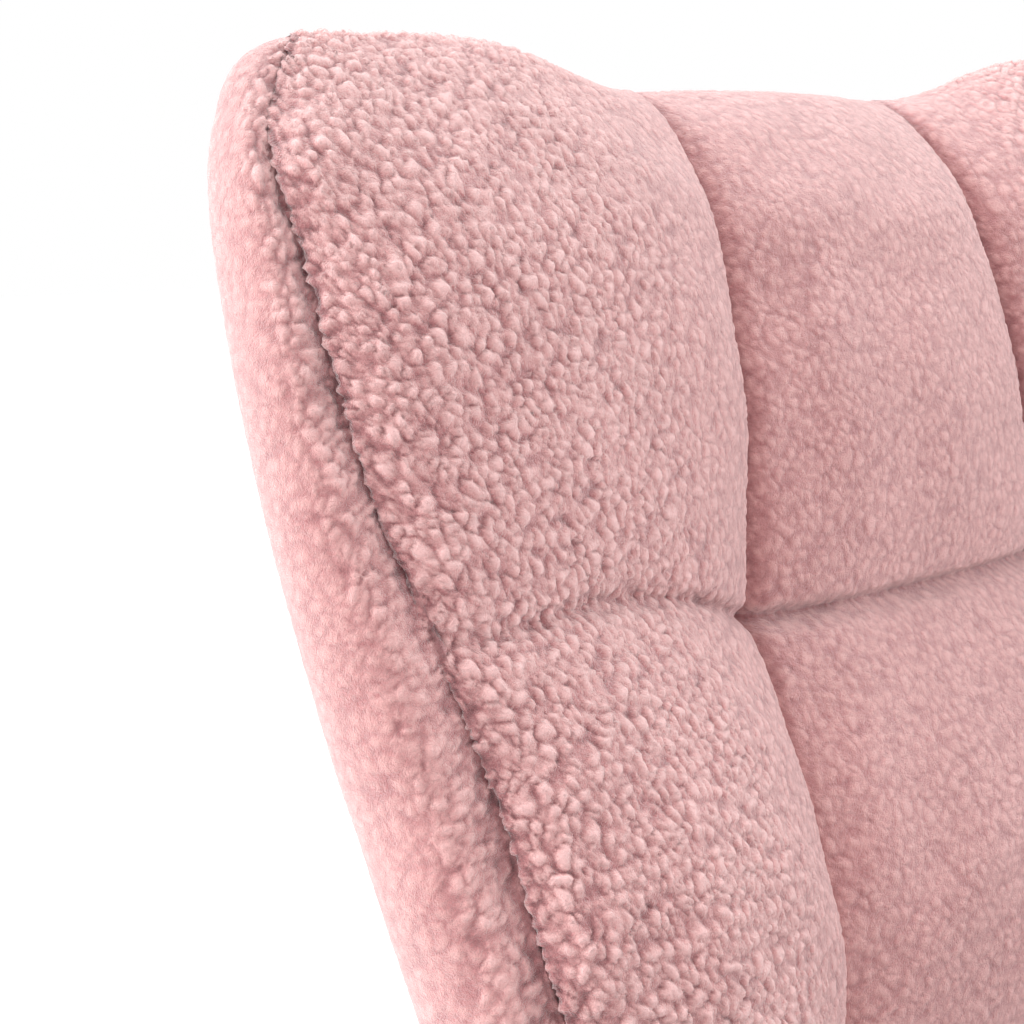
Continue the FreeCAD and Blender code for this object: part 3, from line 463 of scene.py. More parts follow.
def teddy_material():
    """Curly pile: pale curl tops; deeper rose as painted shade in the gaps, and on seams painted
    shade plus the darker ground where it parts.
    """
    material, tree, shader = new_material("teddy_pile")
    place = node(tree, "ShaderNodeAttribute", attribute_name="pile_place")
    height = node(tree, "ShaderNodeAttribute", attribute_name="pile_height").outputs["Fac"]
    amount = node(tree, "ShaderNodeAttribute", attribute_name="pile_amount").outputs["Fac"]
    parted_and_shade = node(tree, "ShaderNodeAttribute", attribute_name="pile_parted_and_shade").outputs["Fac"]
    co = place.outputs["Vector"]
    curls = node(tree, "ShaderNodeTexNoise",
                 {"Vector": co, "Scale": 0.6, "Detail": 4.0, "Roughness": 0.72,
                  "Distortion": 1.2})
    patches = node(tree, "ShaderNodeTexNoise", {"Vector": co, "Scale": 0.02, "Detail": 2.0})
    # Painted shade: the colour darkens with the curls' height, down to deep rose in the gaps
    # between them.
    level = math_node(tree, "ADD", math_node(tree, "MULTIPLY", height, 0.70),
                      math_node(tree, "MULTIPLY", curls.outputs["Fac"], 0.34))
    fuzz = node(tree, "ShaderNodeTexNoise",
                {"Vector": co, "Scale": 2.2, "Detail": 1.0, "Roughness": 0.6})
    level = math_node(tree, "ADD", level,
                      math_node(tree, "MULTIPLY_ADD", fuzz.outputs["Fac"], 0.30, -0.15))
    # The gaps' painted shade is weaker where the pile is low, and a deeper pile is painted
    # lighter overall, as painted light that offsets the shade of its deeper gaps.
    calm = math_node(tree, "SUBTRACT", level, 0.56)
    calm = math_node(tree, "MULTIPLY", calm, math_node(tree, "MULTIPLY_ADD", amount, 0.7, 0.3))
    level = math_node(tree, "ADD", calm, math_node(tree, "MULTIPLY_ADD", amount, 0.12, 0.46))
    # Painted shade along the seams, together with the darker ground where the pile parts.
    level = math_node(tree, "SUBTRACT", level, math_node(tree, "MULTIPLY", parted_and_shade, 0.3))
    # Deep rose for the painted shade of gaps and seams, up to the pale curl tops.
    colour = ramp(tree, level, [
        (0.14, srgb(120, 55, 60)),
        (0.36, srgb(174, 107, 109)),
        (0.56, srgb(210, 151, 149)),
        (0.80, srgb(232, 182, 180)),
    ])
    tint = ramp(tree, patches.outputs["Fac"], [(0.3, srgb(246, 243, 243)),
                                               (0.7, srgb(255, 255, 255))])
    colour = mix_colour(tree, "MULTIPLY", 1.0, colour, tint)
    tree.links.new(colour, shader.inputs["Base Color"])
    shader.inputs["Roughness"].default_value = 1.0
    shader.inputs["Specular IOR Level"].default_value = 0.1
    shader.inputs["Sheen Weight"].default_value = 0.75
    shader.inputs["Sheen Roughness"].default_value = 0.6
    shader.inputs["Sheen Tint"].default_value = (1.0, 0.97, 0.965, 1.0)
    loose = math_node(tree, "MULTIPLY_ADD", fuzz.outputs["Fac"], 0.5, curls.outputs["Fac"])
    tree.links.new(bump(tree, loose, 1.5 * MM, 0.8), shader.inputs["Normal"])
    return material


def object_place(tree, turn=(0, 0, 0)):
    """The object's coordinates in millimetres, turned."""
    coordinate = node(tree, "ShaderNodeTexCoord")
    mapping = node(tree, "ShaderNodeMapping",
                   {"Vector": coordinate.outputs["Object"], "Rotation": turn,
                    "Scale": (1 / MM, 1 / MM, 1 / MM)})
    return mapping.outputs[0]


def wood_material(name, turn, tone=1.0):
    """Beech whose grain runs along the mapped X."""
    material, tree, shader = new_material(name)
    co = object_place(tree, turn)
    stretched = vector_node(tree, "MULTIPLY", co, (0.012, 0.09, 0.09))
    wander = node(tree, "ShaderNodeTexNoise", {"Vector": stretched, "Scale": 0.7, "Detail": 2.0})
    rings = node(tree, "ShaderNodeTexNoise",
                 {"Vector": vector_node(tree, "MULTIPLY", co, (0.006, 0.17, 0.12)),
                  "Scale": 1.0, "Detail": 3.0, "Roughness": 0.55, "Distortion": 0.6})
    flecks = node(tree, "ShaderNodeTexVoronoi",
                  {"Vector": vector_node(tree, "MULTIPLY", co, (0.28, 1.15, 1.15)),
                   "Scale": 1.0, "Randomness": 1.0}, feature="F1")
    fleck = node(tree, "ShaderNodeMapRange",
                 {"Value": flecks.outputs["Distance"], "From Min": 0.10, "From Max": 0.24})
    pores = node(tree, "ShaderNodeTexNoise",
                 {"Vector": vector_node(tree, "MULTIPLY", co, (0.16, 2.6, 2.6)),
                  "Scale": 1.0, "Detail": 2.0})
    level = math_node(tree, "ADD", math_node(tree, "MULTIPLY", rings.outputs["Fac"], 0.75),
                      math_node(tree, "MULTIPLY", wander.outputs["Fac"], 0.3))
    colour = ramp(tree, level, [(0.28, srgb(172, 127, 87)), (0.5, srgb(208, 168, 126)),
                                (0.78, srgb(222, 187, 148))])
    speck = mix_colour(tree, "MIX", fleck.outputs[0], srgb(170, 120, 80), colour)
    colour = mix_colour(tree, "MIX", 0.35, colour, speck)
    pore = ramp(tree, pores.outputs["Fac"], [(0.35, (0.80, 0.76, 0.72, 1)), (0.5, (1, 1, 1, 1))])
    colour = mix_colour(tree, "MULTIPLY", 0.7, colour, pore)
    colour = mix_colour(tree, "MULTIPLY", 1.0, colour, (tone, tone, tone, 1))
    tree.links.new(colour, shader.inputs["Base Color"])
    rough = node(tree, "ShaderNodeMapRange",
                 {"Value": pores.outputs["Fac"], "To Min": 0.34, "To Max": 0.5})
    tree.links.new(rough.outputs[0], shader.inputs["Roughness"])
    shader.inputs["Coat Weight"].default_value = 0.25
    shader.inputs["Coat Roughness"].default_value = 0.28
    grain = bump(tree, pores.outputs["Fac"], 0.12 * MM, 0.5)
    tree.links.new(bump(tree, rings.outputs["Fac"], 0.3 * MM, 0.25, grain),
                   shader.inputs["Normal"])
    return material


def metal_material(name, dark, light, metallic, low, high, grit, depth_mm):
    """Metal or paint with fine grit, faint smears and uneven gloss between low and high."""
    material, tree, shader = new_material(name)
    co = object_place(tree)
    smear = node(tree, "ShaderNodeTexNoise", {"Vector": co, "Scale": 0.05, "Detail": 4.0})
    grain = node(tree, "ShaderNodeTexNoise", {"Vector": co, "Scale": grit, "Detail": 3.0})
    level = math_node(tree, "ADD", math_node(tree, "MULTIPLY", smear.outputs["Fac"], 0.6),
                      math_node(tree, "MULTIPLY", grain.outputs["Fac"], 0.4))
    tree.links.new(ramp(tree, level, [(0.35, dark), (0.65, light)]), shader.inputs["Base Color"])
    rough = node(tree, "ShaderNodeMapRange", {"Value": level, "To Min": low, "To Max": high})
    tree.links.new(rough.outputs[0], shader.inputs["Roughness"])
    shader.inputs["Metallic"].default_value = metallic
    tree.links.new(bump(tree, grain.outputs["Fac"], depth_mm * MM, 0.6), shader.inputs["Normal"])
    return material


def felt_material(name, dark, light, dots):
    """Bonded fibre: mottled, with a fine embossed dot pattern."""
    material, tree, shader = new_material(name)
    co = object_place(tree)
    fibre = node(tree, "ShaderNodeTexNoise",
                 {"Vector": co, "Scale": 0.9, "Detail": 5.0, "Roughness": 0.7})
    cells = node(tree, "ShaderNodeTexVoronoi",
                 {"Vector": co, "Scale": dots, "Randomness": 0.15}, feature="F1")
    tree.links.new(ramp(tree, fibre.outputs["Fac"], [(0.3, dark), (0.7, light)]),
                   shader.inputs["Base Color"])
    shader.inputs["Roughness"].default_value = 0.95
    shader.inputs["Sheen Weight"].default_value = 0.2
    emboss = bump(tree, cells.outputs["Distance"], 0.4 * MM, 0.5)
    tree.links.new(bump(tree, fibre.outputs["Fac"], 0.5 * MM, 0.5, emboss),
                   shader.inputs["Normal"])
    return material


def rubber_material():
    material, tree, shader = new_material("rubber_black")
    co = object_place(tree)
    dust = node(tree, "ShaderNodeTexNoise", {"Vector": co, "Scale": 0.12, "Detail": 5.0})
    grain = node(tree, "ShaderNodeTexNoise", {"Vector": co, "Scale": 3.0, "Detail": 2.0})
    tree.links.new(ramp(tree, dust.outputs["Fac"], [(0.35, srgb(30, 30, 31)),
                                                    (0.75, srgb(58, 57, 56))]),
                   shader.inputs["Base Color"])
    shader.inputs["Roughness"].default_value = 0.78
    tree.links.new(bump(tree, grain.outputs["Fac"], 0.15 * MM, 0.5), shader.inputs["Normal"])
    return material


TEDDY = teddy_material()
LINING = felt_material("lining_black", srgb(22, 22, 24), srgb(48, 48, 50), 0.42)
BAR_WIDTH = 45.0


def lean_of(node_name):
    """Slope angle, in the YZ plane, of a bar that fills its box from corner to corner."""
    lo, hi = mm_box(node_name)
    return math.atan2(hi[2] - lo[2], hi[1] - lo[1] - BAR_WIDTH)


def grain_turn(name):
    """Turns the grain along the piece: the mapping's X is the grain's way."""
    if "cross_rail" in name or name in ("seat_front_rail", "seat_rear_rail"):
        return (0.0, 0.0, 0.0)
    if name.endswith(("_post", "_hanger_leg")):
        slope = lean_of(name)
        angle = slope if name.startswith("front") else math.pi - slope
        return (-angle, 0.0, -math.pi / 2)
    return (0.0, 0.0, -math.pi / 2)


def dress_cad_nodes():
    """Gives each CAD node that stays in sight its own material."""
    flat = {
        "black_steel": metal_material("link_paint", srgb(28, 28, 30), srgb(44, 44, 47),
                                      0.0, 0.38, 0.55, 2.2, 0.12),
        "zinc_steel": metal_material("zinc_plate", srgb(165, 167, 172), srgb(205, 207, 210),
                                     1.0, 0.22, 0.38, 1.2, 0.05),
        "bearing_steel": metal_material("bearing_steel", srgb(150, 152, 156),
                                        srgb(190, 192, 196), 1.0, 0.14, 0.26, 0.6, 0.03),
        "spring_steel": metal_material("spring_wire", srgb(92, 92, 96), srgb(130, 130, 134),
                                       1.0, 0.3, 0.5, 0.8, 0.05),
        "rubber": rubber_material(),
        "black_lining": LINING,
        "plywood": wood_material("birch_ply", (0.0, math.pi / 2, 0.0), 0.97),
    }
    woods = {}
    for entry in RECORD["subparts"]:
        name, slot = entry["node"], entry["material_slot"]
        if slot in ("teddy_fabric", "wadding"):
            continue
        if slot == "beech":
            turn = tuple(round(a, 3) for a in grain_turn(name))
            if turn not in woods:
                woods[turn] = wood_material(f"beech_{len(woods) + 1}", turn)
            material = woods[turn]
        else:
            material = flat[slot]
        for held in NODES[name].material_slots:
            held.material = material


# ------------------------------------------------------------ the quilted inside of the back

# The top edge rolls over from TOP_ROLL_Z up to its crest.
TOP_ROLL_Z = PANEL_TOP - 34
WING_CREST = wing_pad_hi[2] + 7
CENTRE_CREST = centre_pad_hi[2] + 3
FULLER_EAR = 7.0
# How far each quilted field stands out: by its row, and by its column.
TOP_BULGE, LOW_BULGE, CENTRE_PUFF, WING_PUFF = 14.0, 22.0, 19.0, 17.0
# How much higher a wing's cross seams run than the centre's.
SEAM_RISE = 35.0
# Depth of the back's middle behind the valleys, which the top edge rolls round.
MID_CENTRE = 33.0


def seam_wander(z):
    """How far inboard of its panel's edge the wing's sewn edge runs."""
    wave = 3.6 * np.cos(2 * math.pi * (z - 805) / 205)
    wave = wave * smooth(715, 760, z) * (1 - smooth(955, 1005, z))
    return wave + 28.0 * np.clip((z - 985) / 55, 0, 1) ** 1.8


def seam_x(z):
    """X of the seam between a wing's quilt and its edge band."""
    return edge_x(z) - seam_wander(z)


def crest(wing_share, centre_share, side):
    """Height of the top edge: low over the valleys, highest on the ears.

    The ear at +x is stuffed a little fuller than the other.
    """
    centre = CENTRE_CREST - 2.5 * smooth(0.3, 1.0, centre_share)
    wing = lerp(CENTRE_CREST - 1.5, WING_CREST, smooth(0.03, 0.56, wing_share))
    wing = wing + FULLER_EAR * smooth(0.0, 0.5, wing_share) * (side > 0)
    wing = wing - 3.0 * smooth(0.6, 0.95, wing_share) - 1.0 * smooth(0.93, 1.0, wing_share)
    return np.where(wing_share > 0, wing, centre)


def row_share(z, rise):
    """Place within a quilted row, from 0 at its lower seam to 1 at its upper."""
    low, high = LOW_SEAM_Z + rise, SEAM_Z + rise
    height = SEAM_Z - LOW_SEAM_Z
    return np.select([z < low, z < high], [(z - low) / height + 1, (z - low) / height],
                     (z - high) / (CENTRE_CREST + 3 - SEAM_Z))


def levels(spans):
    """Heights along stretches, each with its own count."""
    return np.concatenate([np.linspace(a, b, n, endpoint=False) for a, b, n in spans])


def groove(distance, width):
    """Profile of a sewn line: 1 on it, fading out over about its width."""
    return np.exp(-((distance / width) ** 2))


def quilted_back():
    """One quilt over both wings and the centre, up the front and over the top edge."""
    # columns: side is the wing's side or 0, q runs across the wing or the centre
    wing_n, centre_n = 228, 190
    q_wing = np.linspace(0, 1, wing_n)
    side = np.concatenate([np.ones(wing_n), np.zeros(centre_n), -np.ones(wing_n)])
    q = np.concatenate([q_wing[::-1], np.linspace(1, -1, centre_n + 2)[1:-1], q_wing])
    is_wing = side[None] != 0
    across = np.where(is_wing, q[None], 0.0)
    s = np.where(is_wing, 1.0, np.abs(q[None]))
    # rows: up the front, then round the top edge by the angle alpha
    low = wing_pad_lo[2] + 2
    z_front = levels([(low, 470, 50), (470, 640, 130), (640, TOP_ROLL_Z, 310)])
    turn = np.linspace(0, math.radians(118), 112)
    v_z = np.concatenate([z_front, np.full(len(turn), TOP_ROLL_Z)])
    alpha = np.concatenate([np.zeros(len(z_front)), turn])[:, None]
    height = crest(across, s, side[None])
    z = np.where(alpha > 0, TOP_ROLL_Z + (height - TOP_ROLL_Z) * np.sin(alpha),
                 v_z[:, None] + np.zeros_like(across))
    face_z = np.where(alpha > math.pi / 2, height, z)

    rise = SEAM_RISE * np.sin(math.pi / 2 * np.clip(across / 0.7, 0, 1))
    r = row_share(face_z, rise)
    fold, ahead = fold_x(face_z), forward(face_z)
    run = seam_x(face_z) - fold
    slant = np.arctan2(ahead, run)
    x = np.where(is_wing, side[None] * (fold + run * across), q[None] * fold)
    y = valley(face_z) - ahead * across

    # how far the stuffing stands out between the seams
    r = np.clip(r, 0, 1)
    rows_rise = np.where((face_z > SEAM_Z + rise) & (r > 0.5), 1.0, (4 * r * (1 - r)) ** 0.5)
    bulge = np.where(face_z > SEAM_Z + rise, TOP_BULGE, LOW_BULGE) * np.sin(math.pi * r)
    w = 2 * across - 1
    wing_puff = WING_PUFF * np.clip(1 - np.abs(w) ** 3.0, 0, 1) ** 0.7 * (0.72 + 0.28 * rows_rise)
    wing_out = wing_puff + bulge * (1 - 0.75 * smooth(0.62, 1.0, across))
    centre_out = bulge + CENTRE_PUFF * (1 - s**2.6) ** 0.75 * (0.5 + 0.5 * rows_rise)
    above_cushion = lerp(0.45, 1.0, smooth(cushion_hi[2] - 20, cushion_hi[2] + 60, z))
    out = np.where(is_wing, wing_out, centre_out) * above_cushion

    # grooves along the seams
    to_fold = np.where(is_wing, across * run, (1 - s) * fold)
    to_row = np.minimum(np.abs(face_z - SEAM_Z - rise), np.abs(face_z - LOW_SEAM_Z - rise))
    out = out - 5.0 * groove(to_fold, 5.0)
    out = out - np.where(is_wing, 2.4 + 2.4 * (1 - across), 5.0) * groove(to_row, 4.2)
    out = out - 3.4 * groove((1 - across) * run, 6.0) * is_wing

    x = x - side[None] * np.sin(slant) * out * is_wing
    y = y - np.where(is_wing, np.cos(slant), 1.0) * out

    # the top edge rolls about the middle of the back's depth
    mid_depth = lerp(MID_CENTRE, depth(face_z) * 0.5, across)
    mid_x = np.where(is_wing, side[None] * (fold + run * across * 0.965), q[None] * fold)
    mid_y = valley(face_z) - ahead * across + mid_depth
    behind = lerp(COVER_BACK - MID_CENTRE, depth(face_z) * 0.5, across)
    behind = behind + 2.5 - 9.0 * smooth(math.radians(106), math.radians(117), alpha)
    keep = np.cos(alpha)
    x = mid_x + (x - mid_x) * np.clip(keep, 0, 1)
    y = np.where(keep > 0, mid_y + (y - mid_y) * keep, mid_y - keep * behind)
    points = np.stack([x, y, z], -1)
    points += waves(points, 46, 3)[..., None] * np.array([0.0, -0.9, 0.3])
    wing_pile = lerp(CENTRE_PILE, WING_PILE, smooth(0.05, 0.55, across))
    pile = np.where(is_wing, wing_pile, CENTRE_PILE)
    pile = pile * smooth(cushion_hi[2] - 40, cushion_hi[2] - 10, z)
    # Darkening along the sewn lines for the colour: painted shade in the seams, with the darker
    # ground where the pile parts.
    parted_and_shade = 0.5 * groove(to_fold, 3.2) + 0.4 * groove(to_row, 2.6)
    parted_and_shade = np.clip(parted_and_shade + 0.75 * groove((1 - across) * run, 3.0) * is_wing, 0, 1)

    def inner(rim):
        zr = np.clip(rim[:, 2], low + 12, PANEL_TOP)
        lines = []
        for part in (0.85, 0.3):
            xr = rim[:, 0] * part
            share = np.clip((np.abs(xr) - fold_x(zr)) / (edge_x(zr) - fold_x(zr)), 0, 1)
            yr = valley(zr) - forward(zr) * share + 24
            lines.append(np.stack([xr, yr, zr], 1))
        return lines

    centre = np.array([0.0, valley(650.0) + 24, 650.0])
    return grow_pile(closed_sheet("quilted_back", points, pile, parted_and_shade, centre, inner))


# ------------------------------------------------------------ the outside of the back


def back_shell():
    """The outside of the back, with a padded band along each wing's edge."""
    # columns: each band starts tucked behind the quilt and goes round by the angle phi
    band_n, back_n = 84, 250
    tucked = np.linspace(-1, 0, 9, endpoint=False)
    phi = np.concatenate([tucked, np.linspace(0, math.pi, band_n - len(tucked))])
    u = np.linspace(1, -1, back_n + 2)[1:-1]
    side = np.concatenate([np.ones(band_n), np.zeros(back_n), -np.ones(band_n)])[None]
    angle = np.concatenate([phi, np.zeros(back_n), phi[::-1]])[None]
    across = np.concatenate([np.ones(band_n), u, -np.ones(band_n)])[None]
    is_band = side != 0
    z_side = levels([(outer_lo[2], ARM_Z - 8, 168), (ARM_Z - 8, ARM_Z - 2, 9),
                     (ARM_Z - 2, TOP_ROLL_Z, 252)])
    turn = np.linspace(0, math.pi / 2, 76)
    v_z = np.concatenate([z_side, np.full(len(turn), TOP_ROLL_Z)])
    alpha = np.concatenate([np.zeros(len(z_side)), turn])[:, None]
    fold_at_top = fold_x(PANEL_TOP) / seam_x(PANEL_TOP)
    wing_share = np.clip((np.abs(across) - fold_at_top) / (1 - fold_at_top), 0, 1)
    height = crest(wing_share, np.abs(across) / fold_at_top, across) - 1.5
    z = np.where(alpha > 0, TOP_ROLL_Z + (height - TOP_ROLL_Z) * np.sin(alpha),
                 v_z[:, None] + np.zeros_like(across))

    edge, seam = edge_x(z), seam_x(z)
    seam_y = valley(z) - forward(z)
    rear_y = shell_side(z)
    flare = np.clip((z - ARM_Z) / 74.0, 0, 1)
    top_share = np.clip((z - SWELL_Z) / (PANEL_TOP - SWELL_Z), 0, 1.06)
    swell = edge - seam + 32.5 - 21.5 * top_share**2.2 + 33.5 * (1 - flare) ** 2.4
    swell = swell * smooth(ARM_Z - 7, ARM_Z - 3, z)
    under = np.clip(-angle, 0, 1)
    angle = np.clip(angle, 0, math.pi)
    slope = forward(z) / (seam - fold_x(z))
    band_x = side * (seam - 15 * under + swell * np.sin(angle) ** 0.85)
    band_y = seam_y + (15 * slope + 5) * under + (rear_y - seam_y) * (1 - np.cos(angle)) / 2
    crown = 4.0 * (1 - across**2)
    back_y = lerp(shell_centre(z), rear_y, np.abs(across) ** 2.3) + crown
    x = np.where(is_band, band_x, across * seam)
    y = np.where(is_band, band_y, back_y)

    # grooves along each band's two seams, and the roll of the top edge
    along = np.where(is_band, 60 * np.minimum(angle, math.pi - angle) / math.pi,
                     (1 - np.abs(across)) * edge)
    deep = 3.4 * groove(along, 5.5)
    deep = deep * (under == 0)
    mid_x = np.where(is_band, side, across) * seam * 0.965
    wing_y = valley(z) - forward(z) * wing_share
    mid_y = np.where(is_band, (seam_y + rear_y) / 2,
                     wing_y + lerp(MID_CENTRE, depth(z) * 0.5, wing_share))
    toward = np.stack([mid_x - x, mid_y - y], -1)
    toward /= np.maximum(np.linalg.norm(toward, axis=-1, keepdims=True), TINY)
    x, y = x + toward[..., 0] * deep, y + toward[..., 1] * deep
    keep = np.cos(alpha)
    x, y = mid_x + (x - mid_x) * keep, mid_y + (y - mid_y) * keep
    points = np.stack([x, y, z], -1)
    points += waves(points, 60, 11)[..., None] * np.array([0.4, 0.9, 0.2])
    hidden = (z < ARM_Z - 6) & is_band
    band_pile = lerp(BAND_SEAM_PILE, BAND_PILE, smooth(0.3, 1.0, angle)) * (1 - under)
    pile = np.where(hidden, 0.0, np.where(is_band, band_pile, SHELL_PILE) + 0 * z)
    # Darkening for the colour: painted shade along the band's seams and over the part tucked
    # under the quilt, plus the darker ground where the pile parts.
    parted_and_shade = np.maximum(0.7 * groove(along, 2.8), under) + 0 * z

    def inner(rim):
        zr = np.clip(rim[:, 2], outer_lo[2] + 12, 1000)
        share = np.clip(np.abs(rim[:, 0]) * 0.85 / edge_x(zr), 0, 1) ** 2.3
        yr = lerp(shell_centre(zr), shell_side(zr), share) - 14
        return [np.stack([rim[:, 0] * 0.85, yr, zr], 1)]

    centre = np.array([0.0, float(shell_centre(650.0)) - 14, 650.0])
    return grow_pile(closed_sheet("back_shell", points, pile, parted_and_shade, centre, inner))


# ------------------------------------------------------------ arms and apron


def rounded_loop(lo, hi, radius, counts):
    """Points round a rectangle with round corners, in two coordinates, the same count on
    matching stretches. Returns the points and the outward crown's share along each side."""
    (a0, b0), (a1, b1) = lo, hi
    n_a, n_b, n_c = counts
    centres = [(a1 - radius, b0 + radius), (a1 - radius, b1 - radius),
               (a0 + radius, b1 - radius), (a0 + radius, b0 + radius)]
    starts = [(a0 + radius, b0), (a1, b0 + radius), (a1 - radius, b1), (a0, b1 - radius)]
    ends = [(a1 - radius, b0), (a1, b1 - radius), (a0 + radius, b1), (a0, b0 + radius)]
    ways = [(0, -1), (1, 0), (0, 1), (-1, 0)]
    points, puffs = [], []
    for i in range(4):
        t = np.linspace(0, 1, n_a if i % 2 == 0 else n_b, endpoint=False)[:, None]
        points.append(np.array(starts[i]) * (1 - t) + np.array(ends[i]) * t)
        puffs.append(4 * t * (1 - t) * np.array(ways[i]))
        bend = np.linspace(0, math.pi / 2, n_c, endpoint=False) - math.pi / 2 + i * math.pi / 2
        points.append(np.array(centres[i]) + radius * np.stack([np.cos(bend), np.sin(bend)], 1))
        puffs.append(np.zeros((n_c, 2)))
    return np.concatenate(points), np.concatenate(puffs)


def arm_top(y):
    """Height of the arm's top along its length."""
    share = np.clip((y - arm_lo[1]) / (arm_hi[1] - arm_lo[1]), 0, 1)
    return lerp(ARM_FRONT_Z, arm_hi[2], share)


def arm(name, side):
    """A padded arm, lofted from its rounded front to the side of the back."""
    inner, outer = arm_lo[0], arm_cover_hi[0]
    low, front = arm_cover_lo[2], arm_lo[1]
    radius = 15.0
    length = shell_side(450.0) - front
    turn = np.linspace(0, math.pi / 2, 13)
    stations = list(zip(radius * (1 - np.cos(turn)), radius * (1 - np.sin(turn))))
    for share in np.linspace(0, 1, 246)[1:]:
        distance = radius + (length - radius) * share
        stations.append((distance, 4.0 * smooth(length - 8, length, distance)))

    def section(distance, inset):
        y = front + distance
        top = arm_top(y) - inset
        loop, puff = rounded_loop((inner + inset, low + inset), (outer - inset, top),
                                  max(radius - inset * 0.4, 5.0), (24, 158, 12))
        loop = loop + puff * np.array([2.6, 3.0]) * min(1.0, distance / 40 + 0.3)
        rear = shell_side(loop[:, 1])
        y_all = front + (rear - front) * distance / length
        middle_x = (inner + outer) / 2
        middle_z = np.clip(loop[:, 1], low + 33, top - 33)
        points = np.stack([loop[:, 0], y_all, loop[:, 1]], 1)
        middle = np.stack([np.full(len(loop), middle_x), y_all, middle_z], 1)
        return points, middle

    loops, middles = (np.array(part) for part in zip(*(section(*s) for s in stations)))

    # sewn lines between the band and the two faces
    split_z, split_y, bend = arm_cover_hi[2], arm_cover_lo[1], 26.0
    y, z = loops[..., 1], loops[..., 2]
    cy, cz = split_y + bend, split_z - bend
    corner = (y < cy) & (z > cz)
    gap = np.where(corner, np.abs(np.hypot(y - cy, z - cz) - bend),
                   np.where(z > cz, np.abs(z - split_z), np.abs(y - split_y)))
    face = np.abs(loops[..., 0] - (inner + outer) / 2) > (outer - inner) / 2 - 6
    sink = 5.0 * groove(gap, 3.6) * face
    loops[..., 0] -= np.sign(loops[..., 0] - (inner + outer) / 2) * sink
    loops += waves(loops, 55, 21)[..., None] * np.array([0.7, 0.0, 0.5])
    crown = {0: np.array([0.0, -5.0, 0.0]), -1: np.array([0.0, 1.0, 0.0])}
    for grid in (loops, middles):
        grid[..., 0] *= side
    obj = capped_loft(name, loops, middles, crown)
    return grow_pile(obj, ARM_PILE)


def bar_pad(name, node_name, radius, counts, crown):
    """A long pad lofted along X through rounded sections of a node's box."""
    lo, hi = mm_box(node_name)
    turn = np.linspace(0, math.pi / 2, 7)
    loops, middles = [], []
    stations = [(lo[0] + radius * (1 - math.cos(a)), radius * (1 - math.sin(a))) for a in turn]
    stations += [(x, 0.0) for x in np.linspace(lo[0] + radius, hi[0] - radius, 240)[1:-1]]
    stations += [(-x, inset) for x, inset in reversed(stations[:7])]
    half = min(hi[1] - lo[1], hi[2] - lo[2]) / 2
    for x, inset in stations:
        loop, puff = rounded_loop((lo[1] + inset, lo[2] + inset), (hi[1] - inset, hi[2] - inset),
                                  max(radius - inset * 0.5, radius * 0.4), counts)
        loop = loop + puff * crown * (1 - (x / hi[0]) ** 6)
        middle_y = np.clip(loop[:, 0], lo[1] + half, hi[1] - half)
        middle_z = np.clip(loop[:, 1], lo[2] + half, hi[2] - half)
        loops.append(np.stack([np.full(len(loop), x), loop[:, 0], loop[:, 1]], 1))
        middles.append(np.stack([np.full(len(loop), x), middle_y, middle_z], 1))
    loops = np.array(loops)
    loops += waves(loops, 50, 31)[..., None] * np.array([0.0, 0.6, 0.3])
    none = np.zeros(3)
    return capped_loft(name, loops, np.array(middles), {0: none, -1: none}, 6)


def apron():
    """The padded strip across the front of the seat frame."""
    obj = bar_pad("seat_apron_cover", "seat_apron", 9.0, (10, 38, 7), np.array([4.5, 4.0]))
    return grow_pile(obj, ARM_PILE)


def deck_pad():
    """The thin pad that the cushion lies on."""
    obj = bar_pad("deck_pad_cover", "seat_deck_pad", 3.0, (150, 3, 4), np.array([0.5, 0.8]))
    return grow_pile(obj, DECK_PILE)


def dust_cover():
    """Thin lining stapled under the seat, with a hem folded double and two corners cut."""
    lo, hi = mm_box("dust_cover")
    corner, rear = side_rail_hi[1] - 2, hi[1] - 5
    narrow = lerp(FOLD_LOW, FOLD_TOP, (lo[2] + 2 - panel_lo[2]) / (panel_hi[2] - panel_lo[2]))
    y = np.linspace(lo[1], rear, 120)[:, None]
    half = np.where(y < corner, hi[0], lerp(hi[0], narrow, (y - corner) / (rear - corner)))
    u = np.linspace(-1, 1, 120)[None]
    x = u * half
    rim = np.minimum(np.minimum(y - lo[1], rear - y), (1 - np.abs(u)) * half)
    hem = 1 - smooth(17, 19, rim)
    thick = (0.35 + 0.35 * hem) * np.clip(rim / 2, 0, 1) ** 0.5
    level = (lo[2] + hi[2]) / 2 - 0.5 * (1 - u**2)
    flat = np.stack([x, y + 0 * x, level + 0 * x], -1)
    level = level + 0.5 * waves(flat, 90, 51) * np.clip(rim / 40, 0, 1)
    sides = [np.stack([x, y + 0 * x, level + way * thick], -1) for way in (-1, 1)]
    rows, columns = x.shape
    faces = grid_faces(rows, columns)
    verts = np.concatenate([side.reshape(-1, 3) for side in sides])
    obj = mesh_object("dust_cover_lining", verts, [faces, faces[:, ::-1] + rows * columns])
    tidy_normals(obj)
    obj.data.materials.append(LINING)
    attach(obj, CHAIR)
    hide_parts("dust_cover")


# ------------------------------------------------------------ the seat cushion


CLOTH_FRAMES = 20


